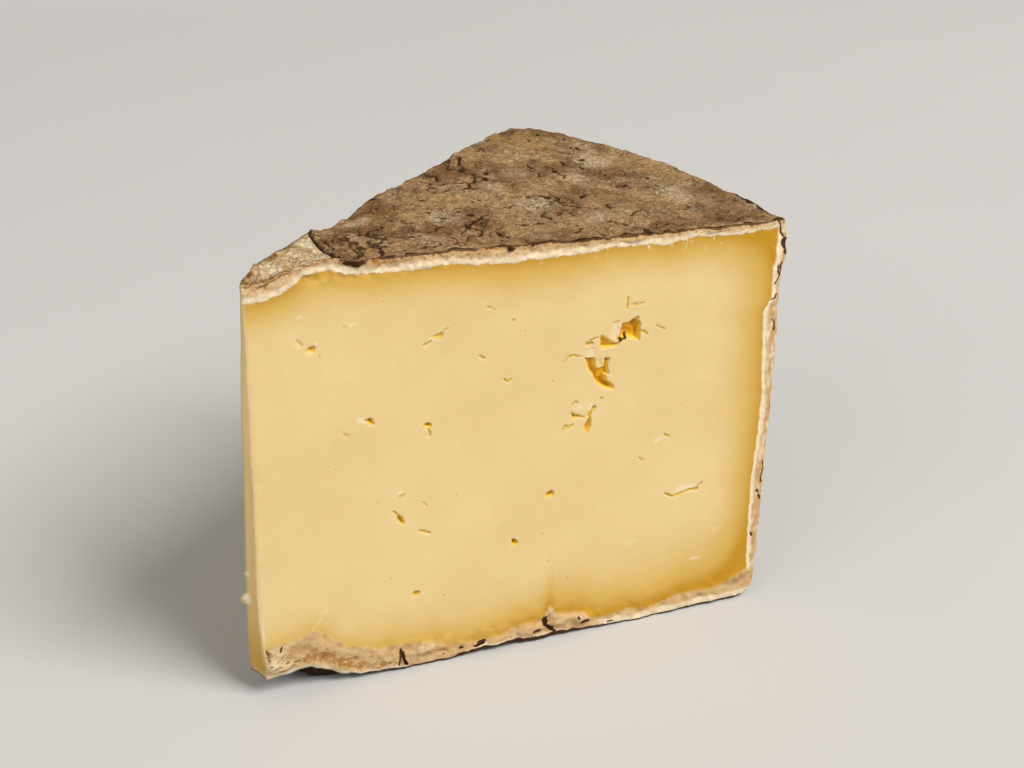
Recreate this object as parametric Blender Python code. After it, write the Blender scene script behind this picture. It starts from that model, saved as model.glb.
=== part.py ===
"""A wedge cut from a tall pressed cheese with a natural rind.

The wedge stands on its base, rind upwards.  One straight cut runs along +X from the middle of the
wheel to its rim, the second cut lies behind it and leans out a little towards the base, and a
narrow flat closes the thin end.  Lengths are in millimetres until the last step, which moves the
origin to the middle of the underside and turns everything into metres.
"""

import itertools
import math

import bmesh
import bpy
import numpy as np
from mathutils import Matrix, Vector
from mathutils.geometry import delaunay_2d_cdt

METRES_PER_MM = 0.001

# Driving sizes of the wheel and of the two cuts
WHEEL_RADIUS = 120.6
WEDGE_ANGLE = math.radians(43.3)
HEIGHT_AT_MIDDLE = 102.3
TOP_FALL_TO_RIM = 0.0397
TOP_RISE_TO_BACK = 0.0068
TOP_RIM_ROUND = 3.0
BASE_RIM_ROUND = 7.0
THIN_END_WIDTH = 0.9
BACK_CUT_LEAN = 0.043
BACK_CUT_LEAN_FROM = 100.0

# Upper edge of the front cut, as distance from the thin end and height
FRONT_TOP_EDGE = ((0, 99.5), (3, 99.0), (9, 100.1), (14.5, 101.7), (20.5, 101.4), (42, 100.8),
                  (58, 100.0), (75, 99.2), (93, 98.4), (121, 98.5))
FRONT_TOP_BLEND = 6.0

# Lower edge of the front cut, in the same way: the thin end hangs clear of the floor
FRONT_BASE_EDGE = ((0, 4.9), (4.3, 5.5), (9.3, 6.2), (13.6, 4.5), (16.5, 2.4), (23, 1.3), (32, 0.5),
                   (41, 0.4), (50, 1.2), (58, 1.2), (65, 0.4), (70, 0.9), (79, 0.6), (90, 0.1),
                   (99, 0.4), (121, 0.9))
FRONT_BASE_BLEND = 7.0
BASE_LIFT_FULL_WITHIN = 9.0
BASE_LIFT_NONE_BEYOND = 22.0
BACK_TIP_EXTRA_LIFT = 3.0
BACK_BASE_BLEND = 5.0
RESTS_BELOW = 0.02

# Raised edge of the thick crust, which crosses the top near the thin end
CRUST_EDGE_FRONT = (20.6, -0.4)
CRUST_EDGE_BACK = (18.0, 17.0)
CRUST_STEP = 1.1
CRUST_STEP_WIDTH = 1.6
CRUST_LIP = 0.7
CRUST_LIP_REACH = 3.0

# Folds of the rind: size of the folds, how far they move the surface, and a seed
TOP_FOLDS = ((13.0, 0.40, 11), (5.5, 0.22, 12))
RIM_FOLDS = ((17.0, 0.45, 21), (6.5, 0.30, 22))
BASE_FOLDS = ((9.0, 0.5, 31),)
FOLD_FADE = 4.0

# Size of the facets; the rim's rows are crowded towards its two edges
TOP_SPACING = 2.3
BASE_SPACING = 3.6
EDGE_SPACING = 2.3
RIM_ROWS = 34
ROW_CROWDING = 0.45
HEXAGON_ROW = math.sqrt(3) / 2
ROOM_AT_EDGE = 0.55
SHARP_EDGE = math.radians(35)

# Openings in the front cut: distance from the thin end, height, width, tallness, tilt in degrees
# and depth.  The first group is the ragged cavity, the second the small scattered ones.
CAVITY = (
    (84.9, 76.9, 4.3, 4.3, 8, 6.5),
    (86.2, 79.7, 1.3, 1.5, 15, 3.0),
    (88.3, 75.9, 2.4, 0.9, -28, 2.0),
    (82.2, 75.4, 2.2, 1.1, 20, 4.5),
    (79.3, 74.7, 4.9, 1.7, -8, 4.5),
    (77.6, 76.0, 1.6, 1.5, 40, 3.0),
    (74.6, 75.2, 2.0, 1.0, 8, 3.0),
    (71.9, 74.0, 3.6, 0.8, 40, 1.6),
    (69.2, 72.3, 2.8, 0.7, 42, 1.2),
    (75.2, 70.4, 3.0, 2.6, -20, 5.0),
    (79.0, 69.9, 1.7, 3.2, 5, 4.5),
    (77.4, 67.6, 2.9, 5.6, 28, 6.0),
    (79.5, 64.5, 4.0, 1.7, -18, 4.5),
    (72.3, 58.2, 4.0, 1.4, -30, 3.6),
    (75.2, 57.0, 1.5, 6.6, -12, 3.4),
    (76.5, 59.6, 1.1, 1.9, -30, 2.0),
)
SMALL_OPENINGS = (
    (13.4, 83.5, 1.7, 1.7, 45, 2.4),
    (11.2, 85.2, 1.6, 0.6, -45, 1.0),
    (14.8, 81.6, 1.4, 0.6, -45, 1.0),
    (40.2, 82.4, 2.6, 1.7, 25, 1.2),
    (25.0, 65.0, 2.4, 1.4, -30, 2.6),
    (37.7, 61.9, 2.0, 2.1, -10, 2.4),
    (31.2, 39.6, 1.2, 2.5, 22, 2.2),
    (36.8, 35.5, 1.9, 0.7, -30, 1.2),
    (66.3, 39.2, 2.0, 1.9, 0, 2.8),
    (57.7, 28.4, 1.8, 1.9, 30, 2.6),
    (34.5, 20.0, 1.5, 1.6, 20, 2.0),
    (103.3, 33.6, 1.7, 1.1, 30, 2.4),
    (99.0, 33.0, 5.4, 0.6, 6, 1.2),
    (96.0, 32.8, 1.8, 0.8, -12, 1.2),
    (83.4, 83.6, 0.9, 2.2, 0, 1.2),
    (86.0, 82.9, 2.6, 0.6, 4, 1.0),
    (56.9, 83.3, 0.8, 0.7, 0, 1.0),
    (17.0, 54.9, 0.9, 0.6, 0, 0.9),
    (31.2, 4.0, 0.8, 4.0, -8, 1.4),
)

# Openings in the back cut: the same six values, measured along the back cut from the thin end
BACK_OPENINGS = (
    (30.0, 70.0, 2.6, 1.6, 30, 2.4),
    (47.0, 34.0, 1.9, 2.3, -15, 2.6),
    (62.0, 80.0, 3.4, 1.3, 20, 2.6),
    (65.0, 77.6, 1.7, 3.0, -8, 3.6),
    (71.0, 52.0, 2.0, 1.8, 10, 2.4),
    (92.0, 63.0, 2.3, 1.3, -35, 2.2),
    (98.0, 27.0, 1.8, 1.7, 0, 2.2),
)
OPENING_CORNERS = 9
OPENING_FLOOR = 0.55
OPENING_OUTSIDE = 1.5
OPENING_RAGGED = 0.22

# Knobs of rind squeezed over the cut edges: centre along the front cut, height, half width, half
# height, how far they stand out, and tilt in degrees
KNOBS = (
    (66.4, 6.2, 1.2, 3.0, 1.3, -12),
    (62.0, 3.6, 4.2, 1.8, 0.9, 8),
    (72.4, 3.9, 4.4, 2.2, 1.0, -4),
    (76.4, 4.2, 1.5, 1.5, 1.2, 0),
    (37.2, 4.2, 2.6, 1.9, 0.6, 0),
    (1.0, 9.0, 1.5, 3.4, 1.1, -8),
    (3.6, 7.6, 2.4, 1.8, 0.9, 20),
    (29.6, 3.8, 0.9, 2.3, 0.8, -10),
    (56.3, 99.7, 1.2, 1.0, 0.7, 0),
)
KNOB_SUNK = 1.6
KNOB_RAGGED = 0.16

PASTE_COLOUR = (0.85, 0.64, 0.30, 1.0)
PASTE_ROUGHNESS = 0.55


def clear_scene():
    for item in list(bpy.data.objects):
        bpy.data.objects.remove(item, do_unlink=True)


def along(table, x):
    """Height read from a table of distances and heights."""
    distances, heights = zip(*table)
    return np.interp(x, distances, heights)


def ease(value, start, end):
    """Zero before start, one after end, smooth in between."""
    part = np.clip((np.asarray(value, float) - start) / (end - start), 0.0, 1.0)
    return part * part * (3.0 - 2.0 * part)


def folds(points, layers):
    """Smooth seeded unevenness at the given points, as the sum of its layers."""
    total = np.zeros(len(points))
    for size, depth, seed in layers:
        lattice = np.random.default_rng(seed).uniform(-1.0, 1.0, (32, 32, 32))
        place = np.asarray(points, float) / size
        corner = np.floor(place).astype(int)
        part = place - corner
        part = part * part * (3.0 - 2.0 * part)
        for step in itertools.product((0, 1), repeat=3):
            weight = np.prod(np.where(step, part, 1.0 - part), axis=1)
            i, j, k = ((corner + step) % 32).T
            total += depth * weight * lattice[i, j, k]
    return total


def across_wedge(x, y):
    """Zero on the front cut, one on the back cut."""
    return np.clip(np.arctan2(y, np.maximum(x, 1e-6)) / WEDGE_ANGLE, 0.0, 1.0)


def from_crust_edge(x, y):
    """Distance from the raised crust edge, positive towards the rim."""
    (x0, y0), (x1, y1) = CRUST_EDGE_FRONT, CRUST_EDGE_BACK
    length = math.hypot(x1 - x0, y1 - y0)
    return ((x - x0) * (y1 - y0) - (y - y0) * (x1 - x0)) / length


def top_height(x, y):
    """Height of the upper rind: a slope, the crust step and the dip beside the front cut."""
    height = HEIGHT_AT_MIDDLE - TOP_FALL_TO_RIM * x + TOP_RISE_TO_BACK * y
    past = from_crust_edge(x, y)
    height = height - CRUST_STEP * (1.0 - ease(past, -CRUST_STEP_WIDTH / 2, CRUST_STEP_WIDTH / 2))
    height = height + CRUST_LIP * np.where(past > 0, np.exp(-past / CRUST_LIP_REACH), 0.0)
    height = height + folds(np.column_stack([x, y, np.zeros_like(x)]), TOP_FOLDS)
    return height + (along(FRONT_TOP_EDGE, x) - height) * (1.0 - ease(y, 0.0, FRONT_TOP_BLEND))


def base_height(x, y):
    """Height of the underside: flat where it rests, raised at the thin end and along the edges."""
    reach = np.hypot(x, y)
    across = across_wedge(x, y)
    tip = 1.0 - ease(reach, BASE_LIFT_FULL_WITHIN, BASE_LIFT_NONE_BEYOND)
    inside = tip * FRONT_BASE_EDGE[0][1]
    inside = inside + BACK_TIP_EXTRA_LIFT * across * (1.0 - ease(reach, 2.0, BASE_LIFT_FULL_WITHIN))
    from_back = reach * np.sin(np.maximum(WEDGE_ANGLE - np.arctan2(y, np.maximum(x, 1e-6)), 0.0))
    dents = np.abs(folds(np.column_stack([x, y, np.zeros_like(x)]), BASE_FOLDS))
    inside = inside + dents * (1.0 - ease(from_back, 0.0, BACK_BASE_BLEND))
    near_front = 1.0 - ease(y, 0.0, FRONT_BASE_BLEND)
    height = inside + (along(FRONT_BASE_EDGE, x) - inside) * near_front
    return np.where(height < RESTS_BELOW, 0.0, height)


def round_rim(from_rim, from_face, radius):
    """Move a point near the edge between the rim and a flat face onto a round of that radius."""
    along_face = np.maximum(radius - from_rim, 0.0)
    along_rim = np.maximum(radius - from_face, 0.0)
    farthest = np.maximum(along_face, along_rim)
    spread = np.maximum(np.hypot(along_face, along_rim), 1e-9)
    in_corner = (along_face > 0) & (along_rim > 0)
    new_from_rim = np.where(in_corner, radius - along_face * farthest / spread, from_rim)
    new_from_face = np.where(in_corner, radius - along_rim * farthest / spread, from_face)
    return new_from_rim, new_from_face


def place(x, y, share):
    """Point of the wedge above the plan point x, y, share of the way from the base to the top."""
    x, y, share = (np.asarray(value, float) for value in (x, y, share))
    reach = np.hypot(x, y)
    low, high = base_height(x, y), top_height(x, y)
    height = low + (high - low) * share
    from_rim = WHEEL_RADIUS - reach
    from_rim, from_top = round_rim(from_rim, high - height, TOP_RIM_ROUND)
    height = high - from_top
    from_rim, from_base = round_rim(from_rim, height - low, BASE_RIM_ROUND)
    height = low + from_base
    bearing = np.arctan2(y, x)
    on_rim = np.column_stack([WHEEL_RADIUS * np.cos(bearing), WHEEL_RADIUS * np.sin(bearing), height])
    pushed = folds(on_rim, RIM_FOLDS) * np.exp(-from_rim / FOLD_FADE)
    new_reach = WHEEL_RADIUS - from_rim + pushed
    scale = np.where(reach > 1e-6, new_reach / np.maximum(reach, 1e-6), 1.0)
    lean = across_wedge(x, y) * BACK_CUT_LEAN * (BACK_CUT_LEAN_FROM - height)
    return np.column_stack([x * scale - lean * math.sin(WEDGE_ANGLE),
                            y * scale + lean * math.cos(WEDGE_ANGLE), height])


def plan_outline():
    """Plan of the wedge as four runs: front cut, rim, back cut and thin end."""
    cut_steps = round(WHEEL_RADIUS / EDGE_SPACING)
    rim_steps = round(WHEEL_RADIUS * WEDGE_ANGLE / EDGE_SPACING)
    back_x = -THIN_END_WIDTH * math.sin(WEDGE_ANGLE)
    back_y = THIN_END_WIDTH * math.cos(WEDGE_ANGLE)
    front = [(WHEEL_RADIUS * i / cut_steps, 0.0) for i in range(cut_steps)]
    rim = []
    for i in range(rim_steps):
        bearing = WEDGE_ANGLE * i / rim_steps
        rim.append((WHEEL_RADIUS * math.cos(bearing), WHEEL_RADIUS * math.sin(bearing)))
    back = []
    for i in range(cut_steps):
        reach = WHEEL_RADIUS * (1.0 - i / cut_steps)
        back.append((reach * math.cos(WEDGE_ANGLE), reach * math.sin(WEDGE_ANGLE)))
    return front, rim, back, (back_x, back_y)


def filled_plan(outline, spacing):
    """Triangles over the plan, with the outline's points first and a hexagonal fill inside."""
    edge = np.array(outline)
    inner = []
    rows = int(np.ptp(edge[:, 1]) / (spacing * HEXAGON_ROW)) + 2
    columns = int(np.ptp(edge[:, 0]) / spacing) + 2
    for row, column in itertools.product(range(rows), range(columns)):
        x = edge[:, 0].min() + (column + 0.5 * (row % 2)) * spacing
        y = edge[:, 1].min() + row * spacing * HEXAGON_ROW
        from_back = x * math.sin(WEDGE_ANGLE) - y * math.cos(WEDGE_ANGLE)
        room = min(y, from_back, WHEEL_RADIUS - math.hypot(x, y))
        if room > ROOM_AT_EDGE * spacing:
            inner.append((x, y))
    points = [Vector(point) for point in list(outline) + inner]
    loop = list(range(len(outline)))
    edges = list(zip(loop, loop[1:] + loop[:1]))
    _, _, faces, _, _, _ = delaunay_2d_cdt(points, edges, [loop], 1, 1e-6)
    return np.array([tuple(point) for point in points]), faces


def wedge_mesh():
    """The whole wedge before anything is cut out of it."""
    front, rim, back, thin_corner = plan_outline()
    outline = front + rim + back + [thin_corner]
    count = len(outline)
    grid = bmesh.new()

    top_plan, top_faces = filled_plan(outline, TOP_SPACING)
    base_plan, base_faces = filled_plan(outline, BASE_SPACING)
    top_points = place(top_plan[:, 0], top_plan[:, 1], np.ones(len(top_plan)))
    base_points = place(base_plan[:, 0], base_plan[:, 1], np.zeros(len(base_plan)))
    top = [grid.verts.new(point) for point in top_points]
    base = [grid.verts.new(point) for point in base_points]
    for face in top_faces:
        grid.faces.new([top[i] for i in face])
    for face in base_faces:
        grid.faces.new([base[i] for i in reversed(face)])

    first_rim = len(front)
    last_rim = len(front) + len(rim)
    columns = {}
    for index in list(range(first_rim, last_rim + 1)) + [0, count - 1]:
        x, y = outline[index]
        below_middle = 0.5 - np.arange(1, RIM_ROWS) / RIM_ROWS
        crowded = ROW_CROWDING / 2 * np.sin(below_middle * math.pi)
        share = 0.5 - crowded - (1.0 - ROW_CROWDING) * below_middle
        points = place(np.full(len(share), x), np.full(len(share), y), share)
        columns[index] = [base[index]] + [grid.verts.new(point) for point in points] + [top[index]]

    for index in range(first_rim, last_rim):
        left, right = columns[index], columns[index + 1]
        for row in range(RIM_ROWS):
            grid.faces.new((left[row], right[row], right[row + 1], left[row + 1]))

    front_run = list(range(0, first_rim + 1))
    back_run = list(range(last_rim, count))
    for run in (front_run, back_run, [count - 1, 0]):
        start, end = run[0], run[-1]
        lower = [base[i] for i in run]
        upper = [top[i] for i in reversed(run)]
        rising = columns[end][1:-1]
        falling = columns[start][-2:0:-1]
        grid.faces.new(lower + rising + upper + falling)

    bmesh.ops.recalc_face_normals(grid, faces=grid.faces)
    mesh = bpy.data.meshes.new("cheese_wedge")
    grid.to_mesh(mesh)
    grid.free()
    return mesh


def ragged_ring(width, tallness, corners, random):
    """Corner points of an uneven oval."""
    ring = []
    for corner in range(corners):
        bearing = 2.0 * math.pi * (corner + random.uniform(-0.25, 0.25)) / corners
        grow = 1.0 + random.uniform(-OPENING_RAGGED, OPENING_RAGGED)
        ring.append((width / 2 * grow * math.cos(bearing), tallness / 2 * grow * math.sin(bearing)))
    return ring


def opening_cutter(name, opening, seed, to_face):
    """Closed ragged plug that narrows inwards; to_face takes it from the cut face to the wedge."""
    distance, height, width, tallness, tilt, depth = opening
    random = np.random.default_rng(seed)
    ring = ragged_ring(width, tallness, OPENING_CORNERS, random)
    slope = math.radians(tilt)
    plug = bmesh.new()
    rings = []
    for share, into in ((1.0, -OPENING_OUTSIDE), (1.0, 0.25 * depth), (OPENING_FLOOR, depth)):
        drift = random.uniform(-0.12, 0.12, 2) * (width, tallness) * (into > 0)
        verts = []
        for u, w in ring:
            u, w = u * share + drift[0], w * share + drift[1]
            x = distance + u * math.cos(slope) - w * math.sin(slope)
            z = height + u * math.sin(slope) + w * math.cos(slope)
            verts.append(plug.verts.new((x, into, z)))
        rings.append(verts)
    for outer, inner in zip(rings, rings[1:]):
        for i in range(OPENING_CORNERS):
            j = (i + 1) % OPENING_CORNERS
            plug.faces.new((outer[i], outer[j], inner[j], inner[i]))
    plug.faces.new(rings[0][::-1])
    plug.faces.new(rings[-1])
    plug.transform(to_face)
    bmesh.ops.recalc_face_normals(plug, faces=plug.faces)
    return helper_object(name, plug)


def knob(name, shape, seed):
    """Rounded uneven knob, half sunk in the front cut."""
    distance, height, half_width, half_height, stands_out, tilt = shape
    blob = bmesh.new()
    bmesh.ops.create_icosphere(blob, subdivisions=2, radius=1.0)
    random = np.random.default_rng(seed)
    for vert in blob.verts:
        vert.co *= 1.0 + random.uniform(-KNOB_RAGGED, KNOB_RAGGED)
    depth = (stands_out + KNOB_SUNK) / 2
    blob.transform(Matrix.Diagonal((half_width, depth, half_height, 1.0)))
    blob.transform(Matrix.Rotation(math.radians(tilt), 4, "Y"))
    blob.transform(Matrix.Translation((distance, KNOB_SUNK - depth, height)))
    return helper_object(name, blob)


def helper_object(name, shape):
    """Object that only cuts or joins, kept out of the build and of renders."""
    mesh = bpy.data.meshes.new(name)
    shape.to_mesh(mesh)
    shape.free()
    helper = bpy.data.objects.new(name, mesh)
    helper.hide_render = True
    helper.display_type = "WIRE"
    bpy.context.scene.collection.objects.link(helper)
    return helper


def combine(target, helper, operation):
    change = target.modifiers.new(helper.name, "BOOLEAN")
    change.operation = operation
    change.solver = "EXACT"
    change.object = helper


def back_face_transform():
    """Takes a shape from the front cut to the same distance along the leaning back cut."""
    lean = math.atan(BACK_CUT_LEAN)
    turn = Matrix.Rotation(WEDGE_ANGLE, 4, "Z")
    mirror = Matrix.Diagonal((1.0, -1.0, 1.0, 1.0))
    raise_back = Matrix.Translation((0.0, 0.0, BACK_CUT_LEAN_FROM))
    tilt = Matrix.Rotation(lean, 4, "X")
    return turn @ raise_back @ tilt @ raise_back.inverted() @ mirror


def freeze(target):
    """Replace the object's mesh by the one its modifiers give, and drop the helpers."""
    view = bpy.context.evaluated_depsgraph_get()
    result = bpy.data.meshes.new_from_object(target.evaluated_get(view))
    helpers = [change.object for change in target.modifiers]
    target.modifiers.clear()
    target.data = result
    for helper in helpers:
        bpy.data.objects.remove(helper, do_unlink=True)


def finish_mesh(target):
    """Facet the mesh, put the origin under its middle and turn millimetres into metres."""
    grid = bmesh.new()
    grid.from_mesh(target.data)
    bmesh.ops.dissolve_degenerate(grid, edges=grid.edges, dist=0.001)
    bmesh.ops.triangulate(grid, faces=grid.faces)
    places = np.array([tuple(vert.co) for vert in grid.verts])
    low, high = places.min(axis=0), places.max(axis=0)
    origin = Vector(((low[0] + high[0]) / 2, (low[1] + high[1]) / 2, low[2]))
    grid.transform(Matrix.Scale(METRES_PER_MM, 4) @ Matrix.Translation(-origin))
    grid.to_mesh(target.data)
    grid.free()
    target.data.shade_smooth()
    target.data.set_sharp_from_angle(angle=SHARP_EDGE)


def paste_material():
    material = bpy.data.materials.new("cheese_paste")
    material.use_nodes = True
    shader = material.node_tree.nodes["Principled BSDF"]
    shader.inputs["Base Color"].default_value = PASTE_COLOUR
    shader.inputs["Roughness"].default_value = PASTE_ROUGHNESS
    shader.inputs["Metallic"].default_value = 0.0
    return material


def main():
    clear_scene()
    wedge = bpy.data.objects.new("cheese_wedge", wedge_mesh())
    bpy.context.scene.collection.objects.link(wedge)
    for number, shape in enumerate(KNOBS):
        combine(wedge, knob(f"knob_{number}", shape, 100 + number), "UNION")
    for number, opening in enumerate(CAVITY + SMALL_OPENINGS):
        cutter = opening_cutter(f"opening_{number}", opening, 200 + number, Matrix.Identity(4))
        combine(wedge, cutter, "DIFFERENCE")
    for number, opening in enumerate(BACK_OPENINGS):
        cutter = opening_cutter(f"back_opening_{number}", opening, 300 + number, back_face_transform())
        combine(wedge, cutter, "DIFFERENCE")
    freeze(wedge)
    finish_mesh(wedge)
    wedge.data.materials.clear()
    wedge.data.materials.append(paste_material())


main()
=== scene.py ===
"""Dress the cheese wedge: its cut faces, its natural rind, and a plain photo stage.

The wedge is one closed mesh.  Its six sides are filled with points in flat coordinates of their
own, more of them where there is more to show, and share the points of their common edges.  Each
point is then placed on the wedge, and pushed in or out by the openings, cracks, folds and knobs of
its side.  Marks kept on the points, mostly distances in millimetres, tell the materials where the
rind, the layer under it and the openings are.  Lengths are in millimetres unless a name or a
property's unit says otherwise.
"""

import itertools
import math

import bpy
import numpy as np
from mathutils import Matrix, Vector
from mathutils.geometry import delaunay_2d_cdt


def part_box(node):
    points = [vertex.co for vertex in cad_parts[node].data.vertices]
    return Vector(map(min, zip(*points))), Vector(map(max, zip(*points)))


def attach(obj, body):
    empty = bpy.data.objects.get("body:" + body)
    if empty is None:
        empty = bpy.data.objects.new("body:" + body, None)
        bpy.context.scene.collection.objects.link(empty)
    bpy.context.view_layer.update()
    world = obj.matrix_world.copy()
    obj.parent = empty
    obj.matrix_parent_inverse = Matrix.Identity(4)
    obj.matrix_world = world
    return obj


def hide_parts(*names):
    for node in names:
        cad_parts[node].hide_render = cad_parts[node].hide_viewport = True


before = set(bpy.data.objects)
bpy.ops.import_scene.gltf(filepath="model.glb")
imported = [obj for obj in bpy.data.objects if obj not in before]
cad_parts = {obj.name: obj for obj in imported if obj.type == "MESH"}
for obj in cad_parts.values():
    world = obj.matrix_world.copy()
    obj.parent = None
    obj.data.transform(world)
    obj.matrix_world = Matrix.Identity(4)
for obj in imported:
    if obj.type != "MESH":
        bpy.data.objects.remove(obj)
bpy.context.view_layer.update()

bl_info = {
    "name": "Natural Rind Cheese Wedge",
    "version": (1, 0, 0),
    "blender": (4, 5, 0),
    "location": "View3D > Sidebar > Cheese",
    "description": "Builds a wedge of pressed cheese with a natural rind on a plain stage",
    "category": "Add Mesh",
}

NODE = "cheese_wedge"
BODY = "root"
METRES_PER_MM = 0.001
MM_PER_METRE = 1000.0

# Where the foot of the thin end's front edge is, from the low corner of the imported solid's box
THIN_END_FROM_BOX_LOW = (3.419, 1.468)

# The two slopes of the wheel's top, and the rounds along its rim
TOP_FALL_TO_RIM = 0.0397
TOP_RISE_TO_BACK = 0.0068
TOP_RIM_ROUND = 0.9
TOP_RIM_RISE = 0.4
TOP_RIM_RISE_WITHIN = 9.0
BASE_RIM_ROUND = 4.0

# Over what length the back cut turns in to the narrow flat of the thin end
THIN_END_TURN = 2.3

# Upper edge of the front cut, as distance from the thin end and height
FRONT_TOP_EDGE = ((0, 99.4), (3, 99.2), (6, 99.7), (9, 100.9), (11.5, 101.7), (14.5, 102.3),
                  (18.7, 102.3), (21, 101.9), (26, 101.5), (34, 101.3), (42, 101.2), (50, 100.9),
                  (58, 100.4), (67, 100.0), (75, 99.6), (85, 99.3), (93, 99.0), (101, 98.9),
                  (107, 98.7), (114, 98.4), (121, 98.6))
FRONT_TOP_BLEND = ((0, 2.2), (10, 3.0), (24, 5.0), (40, 6.0))

# How far the upper rind's edge along the back cut lies above or below the plain slope
BACK_TOP_EDGE = ((0, 0.8), (6, 0.6), (15, 0.8), (18, 0.6), (21.5, -0.6), (24, -1.1), (28.4, -1.0),
                 (30.7, -0.6), (33, 0.1), (36, 0.4), (40, 0.2), (50, 0.0), (53.4, -0.5), (60, 0.0),
                 (66, 0.5), (72, 0.0), (77, -0.3), (81, 0.1), (83.5, -0.9), (85, -1.3), (88, -1.3))
BACK_TOP_BLEND = 7.0

# Lower edge of the front cut, in the same way: the thin end hangs clear of the floor
FRONT_BASE_EDGE = ((0, 4.9), (4.3, 5.5), (9.3, 6.2), (13.6, 4.5), (16.5, 2.4), (23, 1.3), (32, 0.5),
                   (41, 0.4), (50, 1.2), (58, 1.2), (65, 0.4), (70, 0.9), (79, 0.6), (90, 0.1),
                   (99, 0.4), (121, 0.9))
FRONT_BASE_BLEND = 3.6
BASE_LIFT_FULL_WITHIN = 5.0
BASE_LIFT_NONE_BEYOND = 14.0
BACK_BASE_BLEND = 5.0
RESTS_BELOW = 0.02

# The thin end's back corner hangs a little higher still, within this distance of the tip
BACK_TIP_EXTRA_LIFT = 1.4
BACK_TIP_WITHIN = 9.0

# Height at which the leaning back cut meets its plan
BACK_CUT_LEAN_FROM = 100.0

# Raised edge of the thick crust, which crosses the top near the thin end
CRUST_EDGE_FRONT = (20.6, -0.4)
CRUST_EDGE_BACK = (18.0, 17.0)
CRUST_STEP_WIDTH = 0.9
CRUST_LIP = 0.25
CRUST_LIP_REACH = 3.0

# Folds of the rind: size of the folds, how far they move the surface, and a seed
TOP_FOLDS = ((13.0, 0.40, 11), (5.5, 0.22, 12))
RIM_FOLDS = ((17.0, 0.45, 21), (6.5, 0.30, 22))
BASE_FOLDS = ((9.0, 0.5, 31),)
FOLD_FADE = 4.0

# Thickness of the brown crust's cut edge, which starts at the broken edge near the thin end
CRUST_THICKNESS = 0.5
CRUST_STARTS = (17.5, 20.0)

# How far the tip's rind hangs over the front cut's upper edge, and the width of its brown border
TIP_DRIP = ((0, 0.1), (1, 0.5), (1.8, 0.8), (3.1, 1.1), (4.6, 0.7), (6.2, 0.3), (8.2, 0.4), (11, 0.4),
            (14, 0.2), (17, 0.3), (19, -1.5), (125, -1.5))

# Borders of the layers on the front cut, as distance from the thin end and height: where the pale
# layer under the crust ends, and how far the rind of the foot reaches up
PALE_LAYER_BORDER = ((0, 95), (3, 95.3), (6, 95.8), (9, 97), (11, 98.3), (13, 99.7), (15, 100),
                     (18, 99.7), (20, 99), (25, 98.3), (28, 97.9), (32, 97.8), (38, 98.1), (45, 97.6),
                     (50, 97.2), (53, 96.9), (57, 96.3), (60, 96.7), (70, 96.5), (75, 96.6), (80, 97),
                     (88, 96.5), (92, 96), (100, 97), (105, 96.3), (110, 96.2), (115, 96.4),
                     (121, 96.5))
FOOT_BORDER = ((0, 12.7), (5, 13.8), (9, 14.7), (10.5, 15.2), (13, 14), (15, 12), (17, 10), (19, 9),
               (22, 8.6), (25, 7.2), (30, 7), (33, 6.5), (37.4, 6.1), (40, 5.5), (42, 4), (50.3, 3.5),
               (55, 3.8), (59.7, 5.3), (64, 5.2), (65.5, 6.6), (66.3, 9.0), (67.6, 8.8), (68.2, 6.6),
               (70, 6.4), (75, 5.3), (78, 3.3), (80, 2.9),
               (85, 3.5), (93, 2.8), (97, 3.8), (101, 5), (106, 4.3), (110, 4.7), (113, 5), (115, 6.5),
               (117.5, 7.8), (121, 9.0))

# Inner border of the strip of rind down the right of the front cut, as height and distance
STRIP_BORDER = ((0, 118.6), (6, 118.7), (16.4, 118.0), (24.3, 117.9), (33.9, 117.8), (43.2, 118.3),
                (52.4, 118.4), (55.2, 118.5), (66.1, 117.9), (76.6, 117.3), (79.8, 118.9),
                (85.6, 118.6), (89.9, 118.7), (96.1, 119.0), (102, 118.0))

# Rings of the large torn opening in the front cut: depth, then the ring's corners
TORN_OPENING = (
    (1.7, ((82.6, 79.0), (84.0, 79.2), (85.0, 79.8), (86.3, 80.3), (86.0, 79.5), (86.8, 78.5),
           (86.9, 75.8), (86.6, 74.2), (85.3, 75.0), (83.0, 75.2), (82.4, 74.6), (81.2, 75.4))),
    (0.7, ((86.8, 77.0), (88.0, 76.6), (89.2, 75.3), (88.6, 75.1), (87.4, 75.9), (86.7, 76.0))),
    (1.3, ((77.2, 77.0), (79.0, 75.8), (80.0, 75.0), (82.0, 74.5), (81.5, 73.7), (78.0, 73.5),
           (77.3, 73.7), (77.3, 75.5))),
    (1.0, ((73.5, 75.5), (75.5, 75.8), (75.7, 74.8), (74.5, 74.7))),
    (0.7, ((68.2, 71.5), (70.2, 73.3), (71.5, 73.1), (73.5, 72.2), (71.4, 72.5), (70.3, 72.5))),
    (1.5, ((73.7, 72.0), (76.3, 71.6), (76.3, 70.0), (77.2, 69.0), (78.2, 69.3), (78.4, 71.3),
           (79.9, 71.0), (79.3, 69.5), (79.8, 67.2), (79.0, 67.0), (79.3, 65.5), (81.2, 64.3),
           (81.0, 63.2), (79.5, 63.4), (77.0, 64.8), (75.8, 67.0), (74.8, 69.0))),
    (0.6, ((70.4, 60.8), (71.8, 62.1), (73.1, 61.1), (71.8, 61.3))),
    (1.1, ((70.7, 59.3), (71.5, 58.9), (74.3, 57.3), (73.5, 57.0), (71.3, 57.7), (70.8, 58.6))),
    (1.2, ((76.3, 60.2), (77.2, 59.5), (76.0, 58.5), (75.6, 57.2), (76.0, 56.0), (75.5, 53.5),
           (74.7, 52.7), (74.1, 55.0), (75.0, 56.8), (74.3, 57.3), (75.3, 58.6))),
)

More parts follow.
